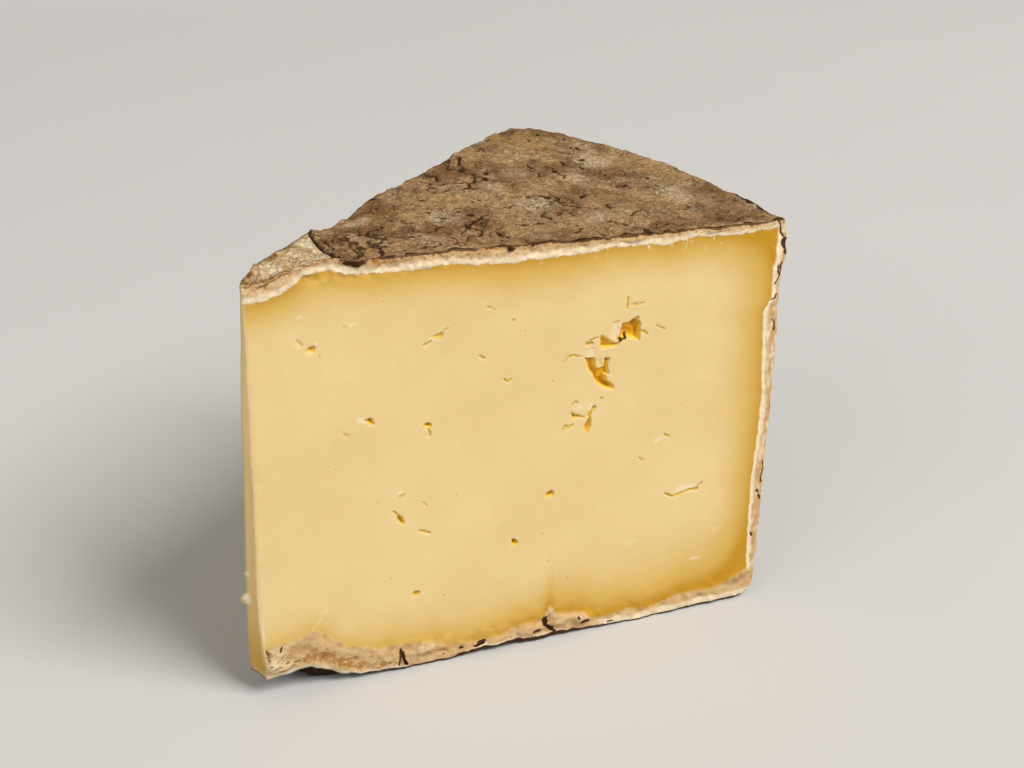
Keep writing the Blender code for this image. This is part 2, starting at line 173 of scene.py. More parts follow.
# Crumbs that stand in or beside the torn opening: how deep their face lies, then their corners
CRUMBS = (
    (0.15, ((79.9, 75.5), (82.3, 75.3), (82.2, 77.6), (81.0, 79.5), (80.2, 78.2))),
    (0.12, ((73.9, 72.2), (75.4, 71.8), (76.5, 72.6), (76.2, 74.3), (74.6, 74.3))),
    (0.3, ((76.4, 69.4), (77.6, 69.2), (78.0, 70.6), (77.4, 71.4), (76.5, 71.0))),
)

# Small openings in the front cut: distance, height, width, tallness, tilt in degrees and depth
SMALL_OPENINGS = (
    (13.4, 83.5, 1.9, 1.5, 45, 1.4), (14.8, 81.6, 1.5, 0.6, -45, 0.6), (40.2, 82.4, 2.6, 1.5, 25, 0.6),
    (25.0, 65.0, 2.4, 1.3, -30, 1.6), (37.7, 61.9, 2.2, 1.9, -10, 1.4), (31.2, 39.6, 1.2, 2.6, 22, 1.4),
    (66.3, 39.2, 2.1, 2.0, 0, 1.7), (57.7, 28.4, 1.9, 2.1, 30, 1.7), (34.5, 20.0, 1.5, 1.6, 20, 1.2),
    (103.1, 33.4, 1.5, 1.1, 30, 1.4), (56.9, 83.4, 0.8, 0.6, 10, 0.5), (17.0, 54.9, 0.9, 0.6, 20, 0.5),
    (20.3, 87.5, 1.0, 0.5, 15, 0.2), (28.4, 91.6, 0.6, 0.5, 0, 0.5), (59.5, 80.5, 0.5, 0.5, 0, 0.4),
    (64.7, 29.3, 0.6, 0.5, 0, 0.4), (65.9, 21.7, 0.6, 0.5, 0, 0.4), (28.6, 25.3, 0.6, 0.5, 0, 0.4),
    (31.5, 45.8, 1.8, 0.7, 20, 0.3), (44.2, 43.8, 0.8, 0.5, 0, 0.2), (71.0, 16.0, 1.0, 0.7, 0, 0.4),
    (78.1, 61.5, 0.9, 0.8, 0, 0.5), (66.4, 67.7, 0.9, 0.5, -20, 0.3), (5.7, 55.0, 0.9, 0.5, 0, 0.2),
    (11.9, 27.8, 0.7, 0.5, 30, 0.2), (41.0, 18.0, 0.7, 0.5, 0, 0.2), (26.0, 45.0, 0.7, 0.4, 0, 0.2),
    (98.0, 56.5, 0.8, 0.5, 0, 0.2),
)

# Cracks and ticks in the front cut: depth, width, then the places they run through
CUT_CRACKS = (
    (0.4, 0.35, ((74.0, 75.6), (76.8, 76.5))),
    (0.5, 0.60, ((69.0, 55.0), (69.4, 56.0), (70.3, 55.4), (71.4, 56.0))),
    (0.5, 0.55, ((83.5, 84.8), (83.3, 82.4))),
    (0.4, 0.45, ((84.5, 83.0), (86.0, 82.8), (87.3, 83.1))),
    (0.2, 0.35, ((80.3, 79.2), (81.5, 79.5))),
    (0.2, 0.40, ((90.5, 77.3), (92.8, 76.1))),
    (0.4, 0.60, ((10.3, 85.8), (11.3, 84.8))),
    (0.2, 0.30, ((51.0, 87.5), (52.0, 87.1), (53.0, 86.5))),
    (0.4, 0.50, ((49.5, 76.3), (50.5, 75.7))),
    (0.4, 0.50, ((55.0, 69.9), (55.8, 69.1), (56.6, 69.6))),
    (0.4, 0.50, ((37.8, 60.9), (38.2, 59.3))),
    (0.4, 0.50, ((19.3, 63.2), (20.3, 62.4))),
    (0.4, 0.50, ((94.2, 49.5), (95.4, 48.7))),
    (0.3, 0.45, ((88.0, 44.7), (89.0, 43.9))),
    (0.6, 0.60, ((95.2, 33.7), (97.0, 32.6), (99.0, 33.0), (101.0, 33.5), (102.5, 33.7))),
    (0.4, 0.50, ((103.0, 33.6), (103.6, 34.3), (104.7, 35.2))),
    (0.4, 0.50, ((29.6, 42.1), (30.8, 40.8))),
    (0.5, 0.65, ((35.6, 36.1), (36.4, 35.6), (37.6, 35.2))),
    (0.2, 0.35, ((36.2, 43.0), (37.4, 42.1))),
    (0.4, 0.45, ((37.0, 80.6), (38.6, 81.4))),
    (0.2, 0.40, ((41.5, 83.4), (42.3, 83.8))),
    (0.6, 0.34, ((30.6, 6.0), (30.4, 3.4), (29.9, 1.4))),
    (0.8, 0.60, ((31.0, 4.6), (31.2, 3.0), (31.8, 1.6))),
    (0.4, 0.26, ((0.4, 13.2), (0.9, 11.4), (0.8, 9.4))),
    (0.3, 0.24, ((3.4, 12.8), (3.0, 11.4))),
    (0.3, 0.20, ((1.0, 8.6), (2.4, 9.2), (3.6, 10.2))),
    (0.3, 0.20, ((1.4, 7.6), (3.2, 8.0), (5.2, 9.0))),
    (0.3, 0.20, ((2.2, 6.6), (4.4, 6.8), (6.0, 7.6))),
    (0.6, 0.60, ((65.9, 6.4), (65.6, 4.3), (66.7, 3.2), (68.2, 1.6))),
    (0.4, 0.60, ((74.8, 2.9), (76.5, 3.4))),
    (0.3, 0.24, ((118.9, 98.2), (119.4, 97.0), (119.2, 95.4), (119.8, 94.2))),
    (0.3, 0.24, ((119.7, 88.6), (119.9, 86.2), (119.5, 84.2), (119.2, 83.0))),
    (0.3, 0.24, ((118.7, 79.2), (119.4, 79.6), (120.0, 80.6))),
    (0.3, 0.24, ((119.3, 74.6), (119.8, 73.4), (119.5, 71.6))),
    (0.3, 0.24, ((120.1, 53.0), (120.2, 50.4))),
    (0.3, 0.24, ((120.3, 38.0), (120.4, 35.0), (120.1, 31.8))),
    (0.3, 0.45, ((119.4, 30.0), (119.7, 29.2))),
    (0.3, 0.45, ((119.8, 28.4), (120.0, 27.6))),
    (0.3, 0.45, ((118.8, 18.3), (118.9, 17.6))),
    (0.4, 0.60, ((48.4, 2.3), (50.6, 2.9))),
)

# Openings in the back cut: the same six values, measured along the back cut from the thin end
BACK_OPENINGS = (
    (30.0, 70.0, 2.6, 1.6, 30, 2.4), (47.0, 34.0, 1.9, 2.3, -15, 2.6), (62.0, 80.0, 3.4, 1.3, 20, 2.6),
    (65.0, 77.6, 1.7, 3.0, -8, 3.6), (71.0, 52.0, 2.0, 1.8, 10, 2.4), (92.0, 63.0, 2.3, 1.3, -35, 2.2),
    (98.0, 27.0, 1.8, 1.7, 0, 2.2), (21.0, 46.0, 0.9, 0.6, 20, 0.8), (38.0, 86.0, 0.8, 0.6, 0, 0.8),
    (54.0, 17.0, 0.9, 0.7, 40, 0.9), (83.0, 84.0, 0.8, 0.6, 0, 0.8), (105.0, 49.0, 1.0, 0.5, -20, 0.7),
    (76.0, 22.0, 1.0, 0.7, 15, 0.8),
)
BACK_CRACKS = (
    (1.0, 0.50, ((63.6, 75.8), (61.8, 73.0), (62.6, 71.4))),
    (0.8, 0.45, ((70.0, 50.6), (68.2, 49.8))),
    (0.8, 0.45, ((33.2, 58.0), (34.4, 57.1))),
    (0.9, 0.50, ((88.0, 38.0), (90.2, 38.6), (91.4, 38.1))),
)

# Pale smears of the back cut: distance, height, width, tallness, tilt in degrees and strength
BACK_PALE_PLACES = (
    (30.4, 71.4, 2.2, 1.1, 30, 0.8), (64.0, 79.0, 2.4, 3.4, 0, 0.8), (90.0, 40.0, 3.4, 1.2, 10, 0.6),
    (22.0, 20.0, 3.0, 1.2, -20, 0.5), (72.0, 54.0, 2.2, 1.0, 10, 0.6), (44.0, 92.0, 3.0, 0.9, 15, 0.6),
)

# Chips of the thin end's back edge: height, half their height and how far they stand out
CHIPS = ((25.4, 1.2, 1.6), (31.8, 0.6, 0.5))
CHIP_REACH = 0.7

# How far the cut's edge at the rim and the thin end's two edges stand out at each height, and how
# far along the surface that reaches
RIM_EDGE = ((0, 0), (3, 0), (6, 0.2), (10, 0.4), (19, 0.4), (24, 0.6), (30, 0.2), (40, 0.2), (43, 0.3),
            (46, 0.9), (49, 1.3), (53, 1.2), (58, 0.9), (73, 0.9), (77, 0.6), (79.5, 0.8), (82.5, 0.4),
            (85, 0.9), (88, 1.1), (91, 1.4), (94, 1.1), (96.7, 0.7), (99, 0.2))
RIM_EDGE_FROM = 117.5
RIM_EDGE_REACH = 4.0
THIN_BACK_EDGE = ((0, -0.5), (5, -0.5), (9, -0.3), (12, 0.4), (19, 0.9), (25, 0.8), (33, 0.7),
                  (42, 0.4), (49, 0.3), (70, 0.2), (79, 0.0), (88, -0.4), (92, -0.4), (96, -0.5),
                  (100, -0.8))
THIN_BACK_EDGE_REACH = 4.0
THIN_FRONT_EDGE = ((0, 0.2), (8, 0.4), (14, 0.8), (20, 1.0), (27, 1.1), (33, 0.9), (50, 0.5), (75, 0.1),
                   (100, 0))
THIN_FRONT_EDGE_REACH = 2.5

# Knobs and swells of the front cut's edges: distance, height, half width, half height, how far
# they stand out, and tilt in degrees
KNOBS = (
    (66.9, 8.0, 0.9, 0.9, 0.7, 0), (65.9, 6.0, 0.6, 1.8, 0.5, -8), (62.0, 3.6, 3.6, 1.8, 0.7, 8),
    (69.6, 4.8, 3.2, 1.9, 0.9, -4), (75.2, 3.8, 3.0, 1.7, 0.9, 0), (36.4, 4.6, 2.5, 2.0, 0.7, 0),
    (1.4, 8.4, 1.5, 1.8, 0.8, -8), (3.6, 7.6, 2.0, 1.2, 0.7, 20), (27.4, 4.4, 2.2, 1.6, 0.4, -10),
    (12.0, 10.6, 3.0, 2.0, 0.4, -30), (53.6, 2.4, 2.4, 1.2, 0.5, 0), (115.6, 6.0, 2.4, 1.6, 0.4, 20),
    (56.4, 99.6, 0.9, 0.8, 0.6, 0), (61.0, 99.6, 0.6, 0.5, 0.4, 0), (22.6, 101.2, 2.8, 1.1, 0.7, -4),
    (33.0, 100.6, 2.6, 0.7, 0.3, -3), (84.0, 98.3, 3.0, 0.7, 0.3, -3), (104.0, 98.1, 3.4, 0.7, 0.3, 0),
)
KNOB_REACH = 1.4

# Pale smears, brown stains and dark spots of the front cut, among them a painted highlight and painted
# shadows: distance, height, width, tallness, tilt in degrees and strength
PALE_PLACES = (
    (92.5, 48.3, 3.4, 1.4, 20, 0.7), (87.0, 22.5, 3.6, 1.6, 10, 0.6), (104.0, 14.5, 3.6, 1.6, 5, 0.6),
    (109.0, 22.0, 3.0, 1.4, 0, 0.5), (11.6, 17.2, 6.4, 0.9, 50, 0.5), (22.0, 87.5, 2.2, 1.1, 0, 0.6),
    (23.0, 65.6, 1.9, 1.2, -20, 0.9), (38.7, 81.8, 1.6, 1.0, 10, 0.9), (31.2, 46.5, 1.9, 0.9, 20, 0.8),
    (100.2, 34.5, 6.6, 0.9, 5, 1.0), (53.8, 34.4, 1.5, 0.9, 0, 0.7), (11.0, 90.8, 2.4, 0.6, 35, 0.7),
    (81.0, 77.4, 2.8, 4.2, -10, 0.55), (75.1, 73.1, 2.8, 2.4, 0, 0.55), (77.2, 70.3, 1.6, 2.2, 0, 0.5),
    (75.4, 59.9, 1.2, 1.6, -30, 0.8), (72.6, 60.0, 2.6, 1.0, -10, 0.7), (14.2, 84.6, 1.2, 0.7, 45, 0.7),
    (67.4, 40.2, 1.2, 0.6, 40, 0.7), (58.6, 29.6, 1.2, 0.6, 40, 0.7), (36.3, 5.0, 4.2, 3.0, 0, 0.5),
    (66.9, 8.0, 1.4, 1.4, 0, 0.5), (69.6, 4.6, 3.6, 2.2, 0, 0.4), (1.8, 8.6, 2.2, 2.0, 0, 0.7),
    # The tall thin smear at (0.1, 21.0) along the thin end's front edge is a painted highlight of that edge
    (0.1, 21.0, 0.7, 16.0, 2, 0.7), (13.8, 20.0, 1.8, 1.4, 0, 0.6),
)
STAINS = (
    (11.5, 8.4, 9.0, 2.6, 0, 1.0), (18.5, 5.2, 8.6, 3.2, -20, 1.0), (26.0, 2.9, 6.0, 1.8, 0, 0.9),
    (5.0, 9.5, 4.0, 2.4, 30, 0.6), (41.5, 3.2, 8.0, 1.8, -3, 0.6), (47.0, 2.6, 6.0, 1.4, 0, 0.7),
    (56.0, 2.8, 4.0, 1.4, 0, 0.6), (72.0, 2.2, 5.0, 1.0, 0, 0.6), (116.0, 6.0, 4.4, 2.4, 30, 0.6),
    (28.0, 100.6, 4.6, 1.3, -3, 1.0), (50.0, 100.2, 4.6, 1.0, -3, 0.9), (63.8, 2.7, 2.0, 1.4, 0, 0.8),
    (0.8, 11.2, 1.4, 4.2, 0, 0.8), (13.2, 83.3, 1.4, 1.2, 45, 0.9),
    (31.6, 45.6, 1.4, 0.6, 20, 0.6), (71.0, 16.0, 1.2, 0.9, 0, 0.6), (97.0, 1.8, 8.0, 1.2, 0, 0.4),
)
DARK_SPOTS = (
    (6.5, 8.3, 1.8, 0.7, 10, 0.7), (30.9, 3.6, 2.2, 4.4, 0, 0.5), (75.8, 3.1, 1.8, 0.9, 0, 0.9),
    (74.0, 4.6, 0.8, 0.6, 0, 0.9), (41.0, 1.9, 0.8, 0.6, 0, 0.8), (44.5, 2.5, 0.7, 0.6, 0, 0.8),
    (45.5, 1.8, 0.7, 0.5, 0, 0.8), (49.8, 3.0, 2.2, 1.4, 10, 1.0), (45.0, 2.7, 1.8, 0.9, 0, 0.8),
    (56.4, 99.7, 1.9, 1.4, 0, 0.9),
    (61.0, 99.7, 0.9, 0.8, 0, 0.9), (22.6, 101.1, 5.4, 1.5, -4, 0.9), (106.0, 39.6, 2.0, 0.9, 0, 0.3),
    (120.2, 92.6, 1.3, 2.8, 5, 1.0), (119.9, 90.8, 0.9, 1.6, 20, 0.8), (119.6, 86.5, 0.5, 4.4, 5, 0.7),
    # The spots at (65.6, 5.2), (67.3, 2.6) and (64.6, 7.9) on this line and (63.7, 2.9) on the next are
    # painted shadow cast by the knot, over darker rind
    (65.6, 5.2, 1.4, 2.6, -5, 1.0), (67.3, 2.6, 1.3, 2.8, 45, 1.0), (64.6, 7.9, 2.0, 0.4, 0, 0.7),
    (63.7, 2.9, 2.4, 1.6, -10, 1.0), (75.6, 3.3, 2.2, 1.3, 15, 1.0), (74.2, 4.5, 0.6, 0.8, 0, 0.9),
    (80.5, 0.9, 1.6, 0.5, 10, 0.7), (82.7, 1.3, 1.2, 0.4, 10, 0.9), (82.2, 74.8, 1.6, 0.5, 25, 0.9),
    (83.5, 75.4, 1.6, 0.7, 30, 0.9), (86.6, 78.4, 0.5, 1.6, 0, 0.5), (75.0, 57.9, 0.7, 0.6, 0, 0.6),
    (71.4, 58.2, 0.8, 0.4, -30, 0.5),
    (3.3, 12.2, 0.5, 1.3, 20, 0.7), (86.4, 79.8, 0.7, 0.9, 0, 0.5),
)

# Cracks of the upper rind in plan: depth, width, then the places they run through
TOP_CRACKS = (
    (1.3, 0.6, ((18.0, 17.4), (18.1, 12.8), (18.6, 8.6), (19.6, 6.6), (20.4, 2.7), (20.8, -0.4))),
    (0.5, 0.45, ((19.2, 15.0), (20.6, 9.5), (22.4, 5.0), (23.6, 0.8))),
    (0.5, 0.45, ((21.6, 17.0), (22.0, 11.0), (24.2, 6.2), (25.4, 1.0))),
    (0.4, 0.40, ((20.4, 4.6), (21.6, 2.0), (22.2, 0.5))),
    (0.4, 0.40, ((25.0, 12.0), (26.4, 8.0), (30.0, 6.4), (33.0, 7.6))),
    (0.4, 0.40, ((31.0, 4.0), (36.0, 2.6), (41.0, 3.6), (47.0, 2.4))),
    (0.4, 0.40, ((33.0, 12.0), (38.0, 9.6), (44.0, 10.6))),
    (0.4, 0.40, ((46.0, 24.0), (50.0, 21.0), (53.0, 22.6))),
    (0.5, 0.45, ((62.0, 12.6), (66.0, 11.8), (68.4, 12.4))),
    (0.4, 0.40, ((86.0, 4.6), (90.0, 3.0), (95.0, 4.2), (101.0, 2.6), (106.0, 4.0))),
    (0.4, 0.40, ((108.0, 3.0), (113.0, 4.6), (117.0, 3.4))),
    (0.9, 0.7, ((57.0, 9.0), (60.0, 4.0), (61.0, 0.6))),
    (0.8, 0.6, ((71.0, 18.0), (71.0, 12.0), (73.0, 9.0))),
    (0.7, 0.6, ((72.0, 4.0), (75.0, 7.0))),
    (0.7, 0.6, ((67.0, 30.0), (72.0, 30.0), (77.0, 26.0), (77.0, 22.0), (82.0, 19.0))),
    (0.8, 0.7, ((52.0, 50.0), (55.0, 49.0), (55.0, 45.0))),
    (0.8, 0.7, ((60.0, 51.0), (61.0, 55.0), (62.0, 58.0))),
    (0.8, 0.7, ((60.0, 38.0), (64.0, 44.0), (63.0, 52.0), (66.0, 60.0))),
    (0.5, 0.6, ((83.7, 48.7), (84.6, 44.7), (85.0, 40.1))),
    (0.4, 0.5, ((79.0, 50.0), (78.8, 46.7), (79.7, 42.0))),
    (0.6, 0.6, ((24.0, 1.5), (25.5, 5.0), (24.5, 9.0))),
    (0.6, 0.6, ((28.0, 1.0), (29.5, 4.0), (28.6, 10.0))),
    (0.6, 0.5, ((36.0, 14.0), (42.0, 12.0), (46.0, 15.0))),
    (0.6, 0.5, ((88.0, 12.0), (94.0, 16.0), (97.0, 12.0))),
)

# Cracks at least this deep stray little from their drawn path
MAIN_CRACK_DEPTH = 1.0

# Patches of the upper rind in plan: centre, width, length, tilt in degrees and strength
TOP_PALE_PLACES = (
    (71.0, 24.0, 9.0, 9.0, 0, 0.8), (96.5, 50.0, 10.0, 11.0, 0, 0.8), (105.0, 24.0, 8.0, 10.0, 0, 0.9),
    (40.0, 8.0, 9.0, 5.0, 10, 0.5), (88.0, 40.0, 8.0, 6.0, 0, 0.5), (48.0, 20.0, 8.0, 9.0, 30, 0.7),
    (26.5, 13.0, 2.0, 7.0, 10, 0.8), (30.0, 22.0, 7.0, 5.0, 40, 0.8), (82.0, 14.0, 7.0, 6.0, 0, 0.6),
    (66.0, 37.0, 6.0, 6.0, 0, 0.6), (76.0, 46.0, 8.0, 6.0, 0, 0.4), (98.0, 62.0, 6.0, 5.0, 0, 0.5),
)
TOP_WRINKLED_PLACES = (
    (30.0, 10.0, 26.0, 22.0, 0, 1.1), (48.0, 18.0, 30.0, 24.0, 20, 0.9), (60.0, 48.0, 18.0, 28.0, -20, 1.3),
    (74.0, 24.0, 20.0, 18.0, 0, 1.0), (70.0, 6.0, 110.0, 9.0, 0, 0.9), (100.0, 28.0, 18.0, 14.0, 0, 0.7),
    (86.0, 64.0, 18.0, 26.0, 0, 0.6), (66.0, 12.0, 20.0, 14.0, 0, 0.8),
)
TOP_OCHRE_PLACES = (
    (84.0, 68.0, 14.0, 18.0, 60, 0.9), (50.0, 30.0, 12.0, 10.0, 0, 0.6), (10.0, 8.5, 8.0, 3.0, 45, 0.7),
    (26.0, 6.0, 9.0, 5.0, 0, 0.6), (108.0, 44.0, 6.0, 12.0, 10, 0.4), (36.0, 24.0, 9.0, 8.0, 0, 0.5),
)
TOP_DARK_PLACES = (
    (54.0, 19.5, 1.8, 1.6, 0, 1.0), (52.5, 22.0, 1.5, 1.4, 0, 1.0), (84.0, 27.0, 1.8, 1.6, 0, 1.0),
    # The long place at (76.6, 70.2) along the back edge is painted shade of that edge
    (96.0, 31.0, 1.8, 1.8, 0, 1.0), (103.0, 34.5, 1.6, 1.6, 0, 1.0), (76.6, 70.2, 5.0, 1.2, 45, 0.8),
    (91.0, 72.0, 1.4, 1.6, 0, 0.8), (105.0, 53.5, 1.4, 3.0, 25, 0.6), (116.5, 33.0, 2.0, 6.0, 15, 0.6),
    (119.0, 13.0, 2.4, 18.0, 3, 0.8), (97.0, 60.0, 1.5, 1.6, 0, 0.9), (93.6, 51.2, 1.5, 1.8, 0, 0.9),
    (36.6, 33.4, 3.2, 1.2, 42, 0.9),
)

# Spacing of the mesh's points: the finest on each side, and the wider ones of its quiet places
FRONT_FINEST = 0.27
FRONT_NEAR_RIND = 0.54
FRONT_QUIET = 1.08
BACK_FINEST = 0.5
BACK_NEAR_RIND = 1.0
BACK_QUIET = 2.0
TOP_FINEST = 0.46
RIM_FINEST = 1.5
THIN_FINEST = 0.6
BASE_FINEST = 0.75
BASE_QUIET = 3.0
BASE_FINE_STRIP = 4.0
COARSEST_LEVEL = 2

# How fast the spacing grows away from a crack, and from how far off
CRACK_GROWTH = 0.6
CRACK_GROWS_FROM = 0.3

# Points along the upright edges, and along the front, rim, back and thin runs of base and top
COLUMN_POINTS = {"thin_front": 240, "rim_front": 200, "rim_back": 80, "thin_back": 160}
RUN_POINTS = {"base": (330, 70, 90, 8), "top": (400, 180, 240, 8)}

# The thin end is stretched this much in its flat coordinates, so that its points aren't crowded
THIN_SIDE_SCALE = 4.0
HEXAGON_ROW = math.sqrt(3) / 2

# Room left free beside an outline, as a share of the spacing there
ROOM_AT_EDGE = 0.5

# Flat height of a whole side, and how far in from its outline a side's relief reaches its full depth
SHARE_SCALE = 100.0
FADE_WIDTH = 1.2

# Side of the cube of random values that the noise reads
NOISE_LATTICE = 32

# Width of an opening's wall, and how far round a shape its effect is looked for
WALL_WIDTH = 0.5
LOOK_ROUND = 3.0

# How far the paste's warm tint reaches from the pale layer, the foot and the strip
LAYER_WARMTH_REACH = 5.5
FOOT_WARMTH_REACH = 7.0
STRIP_WARMTH_REACH = 5.5

# Marks kept on the points, and the distance that stands for being nowhere near a border
MARKS = ("warmth", "pale_layer", "crust", "foot", "strip", "opening", "depth", "pale", "stain",
         "dark", "crevice", "ochre", "lip", "fibres", "tip", "tip_edge", "tip_rind")
BORDER_MARKS = ("crust", "pale_layer", "foot", "strip", "opening", "tip_rind")
FAR = -20.0

# The camera, as distances from the thin end's foot, and its turns
CAMERA_PLACE = (-54.38, -287.95, 219.95)
CAMERA_YAW = math.radians(21.112)
CAMERA_PITCH_DOWN = math.radians(26.131)
CAMERA_ROLL = math.radians(0.638)
SENSOR_WIDTH_MM = 36.0
CLIP_START = 0.01

# The floor and the lights, in metres
FLOOR_HALF_WIDTH = 1.6
FLOOR_DEPTH_BACK = 1.1
FLOOR_SWEEP_RADIUS = 0.5
FLOOR_SWEEP_STEPS = 16
MIDDLE_OF_WEDGE = (0.0, 0.0, 0.045)
KEY_PLACE = (1.24, -1.70, 2.46)
KEY_SIZE = 1.6
KEY_COLOUR = (1.0, 0.985, 0.965)
FILL_PLACE = (-2.24, -1.30, 1.57)
FILL_SIZE = 1.9
FILL_COLOUR = (1.0, 1.0, 1.0)
SKY_TONE = (250, 248, 246)


def ease(value, start, end):
    """Zero before start, one after end, smooth in between."""
    part = np.clip((np.asarray(value, float) - start) / (end - start), 0.0, 1.0)
    return part * part * (3.0 - 2.0 * part)


def along(table, x):
    """Second value of a table, read at x."""
    firsts, seconds = zip(*table)
    return np.interp(x, firsts, seconds)


def noise(points, size, seed):
    """Smooth seeded noise from -1 to 1 with features of about the given size."""
    lattice = np.random.default_rng(seed).uniform(-1.0, 1.0, (NOISE_LATTICE,) * 3)
    places = np.asarray(points, float) / size
    corner = np.floor(places).astype(int)
    part = places - corner
    part = part * part * (3.0 - 2.0 * part)
    total = np.zeros(len(places))
    for step in itertools.product((0, 1), repeat=3):
        weight = np.prod(np.where(step, part, 1.0 - part), axis=1)
        i, j, k = ((corner + step) % NOISE_LATTICE).T
        total += weight * lattice[i, j, k]
    return total


def folds(points, layers):
    """Sum of several layers of noise, each with its own size, depth and seed."""
    return sum(depth * noise(points, size, seed) for size, depth, seed in layers)


def flat_points(x, y):
    """Points in space above flat coordinates, for the noise functions."""
    return np.column_stack([x, y, np.zeros(len(x))])


# The wedge's form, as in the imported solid

class WedgeForm:
    """Sizes of the wedge, and the rule that puts a point of a side on it."""

    def __init__(self, settings):
        """Read the sizes, turning metres into millimetres."""
        self.radius = settings.wheel_radius * MM_PER_METRE
        self.angle = settings.wedge_angle
        self.height = settings.height_at_middle * MM_PER_METRE
        self.thin_end = settings.thin_end_width * MM_PER_METRE
        self.crust_step = settings.crust_step * MM_PER_METRE
        self.lean = math.tan(settings.back_cut_lean)

    def from_crust_edge(self, x, y):
        """Distance from the raised crust edge, positive towards the rim."""
        (x0, y0), (x1, y1) = CRUST_EDGE_FRONT, CRUST_EDGE_BACK
        length = math.hypot(x1 - x0, y1 - y0)
        return ((x - x0) * (y1 - y0) - (y - y0) * (x1 - x0)) / length

    def from_back(self, x, y):
        """Distance in plan from the back cut, positive inside the wedge."""
        return x * math.sin(self.angle) - y * math.cos(self.angle)

    def top_height(self, x, y):
        """Height of the upper rind: a slope, the crust step and the dip beside the front cut."""
        height = self.height - TOP_FALL_TO_RIM * x + TOP_RISE_TO_BACK * y
        past = self.from_crust_edge(x, y)
        step = 1.0 - ease(past, -CRUST_STEP_WIDTH / 2, CRUST_STEP_WIDTH / 2)
        height = height - self.crust_step * step
        height = height + CRUST_LIP * np.where(past > 0, np.exp(-past / CRUST_LIP_REACH), 0.0)
        height = height + folds(flat_points(x, y), TOP_FOLDS)
        near_back = 1.0 - ease(self.from_back(x, y), 0.0, BACK_TOP_BLEND)
        height = height + along(BACK_TOP_EDGE, x) * near_back
        from_rim = self.radius - np.hypot(x, y)
        height = height + TOP_RIM_RISE * (1.0 - ease(from_rim, 0.0, TOP_RIM_RISE_WITHIN))
        edge = along(FRONT_TOP_EDGE, x)
        return height + (edge - height) * (1.0 - ease(y / along(FRONT_TOP_BLEND, x), 0.0, 1.0))

    def base_height(self, x, y, across):
        """Height of the underside: flat where it rests, raised at the thin end and the edges."""
        reach = np.hypot(x, y)
        tip = 1.0 - ease(reach, BASE_LIFT_FULL_WITHIN, BASE_LIFT_NONE_BEYOND)
        inside = tip * FRONT_BASE_EDGE[0][1]
        from_back = reach * np.sin(self.angle * (1.0 - across))
        dents = np.abs(folds(flat_points(x, y), BASE_FOLDS))
        inside = inside + dents * (1.0 - ease(from_back, 0.0, BACK_BASE_BLEND))
        near_front = 1.0 - ease(y, 0.0, FRONT_BASE_BLEND)
        height = inside + (along(FRONT_BASE_EDGE, x) - inside) * near_front
        back_tip = across * (1.0 - ease(reach, 1.0, BACK_TIP_WITHIN))
        height = height + BACK_TIP_EXTRA_LIFT * back_tip
        return np.where(height < RESTS_BELOW, 0.0, height)

    def place(self, rows):
        """Points of the wedge from rows of plan x, plan y, share of the height and share across."""
        x, y, share, across = rows.T
        reach = np.hypot(x, y)
        low = self.base_height(x, y, across)
        high = self.top_height(x, y)
        height = low + (high - low) * share
        from_rim = self.radius - reach
        from_rim, from_top = round_rim(from_rim, high - height, TOP_RIM_ROUND)
        height = high - from_top
        from_rim, from_base = round_rim(from_rim, height - low, BASE_RIM_ROUND)
        height = low + from_base
        bearing = np.arctan2(y, x)
        on_rim = np.column_stack([self.radius * np.cos(bearing), self.radius * np.sin(bearing), height])
        pushed = folds(on_rim, RIM_FOLDS) * np.exp(-from_rim / FOLD_FADE)
        new_reach = self.radius - from_rim + pushed
        scale = np.where(reach > 1e-6, new_reach / np.maximum(reach, 1e-6), 1.0)
        lean = across * self.lean * (BACK_CUT_LEAN_FROM - height)
        return np.column_stack([x * scale - lean * math.sin(self.angle),
                                y * scale + lean * math.cos(self.angle), height])

    def back_plan(self, distance):
        """Plan of the back cut at a distance from the thin end."""
        turn_in = self.thin_end * np.clip(1.0 - distance / THIN_END_TURN, 0.0, 1.0)
        return (distance * math.cos(self.angle) - turn_in * math.sin(self.angle),
                distance * math.sin(self.angle) + turn_in * math.cos(self.angle))


def round_rim(from_rim, from_face, radius):
    """Move a point near the edge between the rim and a flat face onto a round of that radius."""
    along_face = np.maximum(radius - from_rim, 0.0)
    along_rim = np.maximum(radius - from_face, 0.0)
    farthest = np.maximum(along_face, along_rim)
    spread = np.maximum(np.hypot(along_face, along_rim), 1e-9)
    in_corner = (along_face > 0) & (along_rim > 0)
    new_from_rim = np.where(in_corner, radius - along_face * farthest / spread, from_rim)
    new_from_face = np.where(in_corner, radius - along_rim * farthest / spread, from_face)
    return new_from_rim, new_from_face


# Shapes drawn on a side: distances to paths, rings and ovals

def distance_to_path(points, path):
    """Distance from each point to the nearest place on a path."""
    path = np.asarray(path, float)
    nearest = np.full(len(points), np.inf)
    for start, end in zip(path, path[1:]):
        run = end - start
        part = np.clip((points - start) @ run / max(run @ run, 1e-12), 0.0, 1.0)
        away = points - start - part[:, None] * run
        nearest = np.minimum(nearest, np.hypot(away[:, 0], away[:, 1]))
    return nearest


def inside_ring(points, ring):
    """How far inside a closed ring each point lies, negative outside it."""
    ring = np.asarray(ring, float)
    closed = np.vstack([ring, ring[:1]])
    within = np.zeros(len(points), bool)
    for (x0, y0), (x1, y1) in zip(closed, closed[1:]):
        crosses = (y0 > points[:, 1]) != (y1 > points[:, 1])
        rise = y1 - y0 if y1 != y0 else 1e-12
        crossing = x0 + (x1 - x0) * (points[:, 1] - y0) / rise
        within ^= crosses & (points[:, 0] < crossing)
    return np.where(within, 1.0, -1.0) * distance_to_path(points, closed)


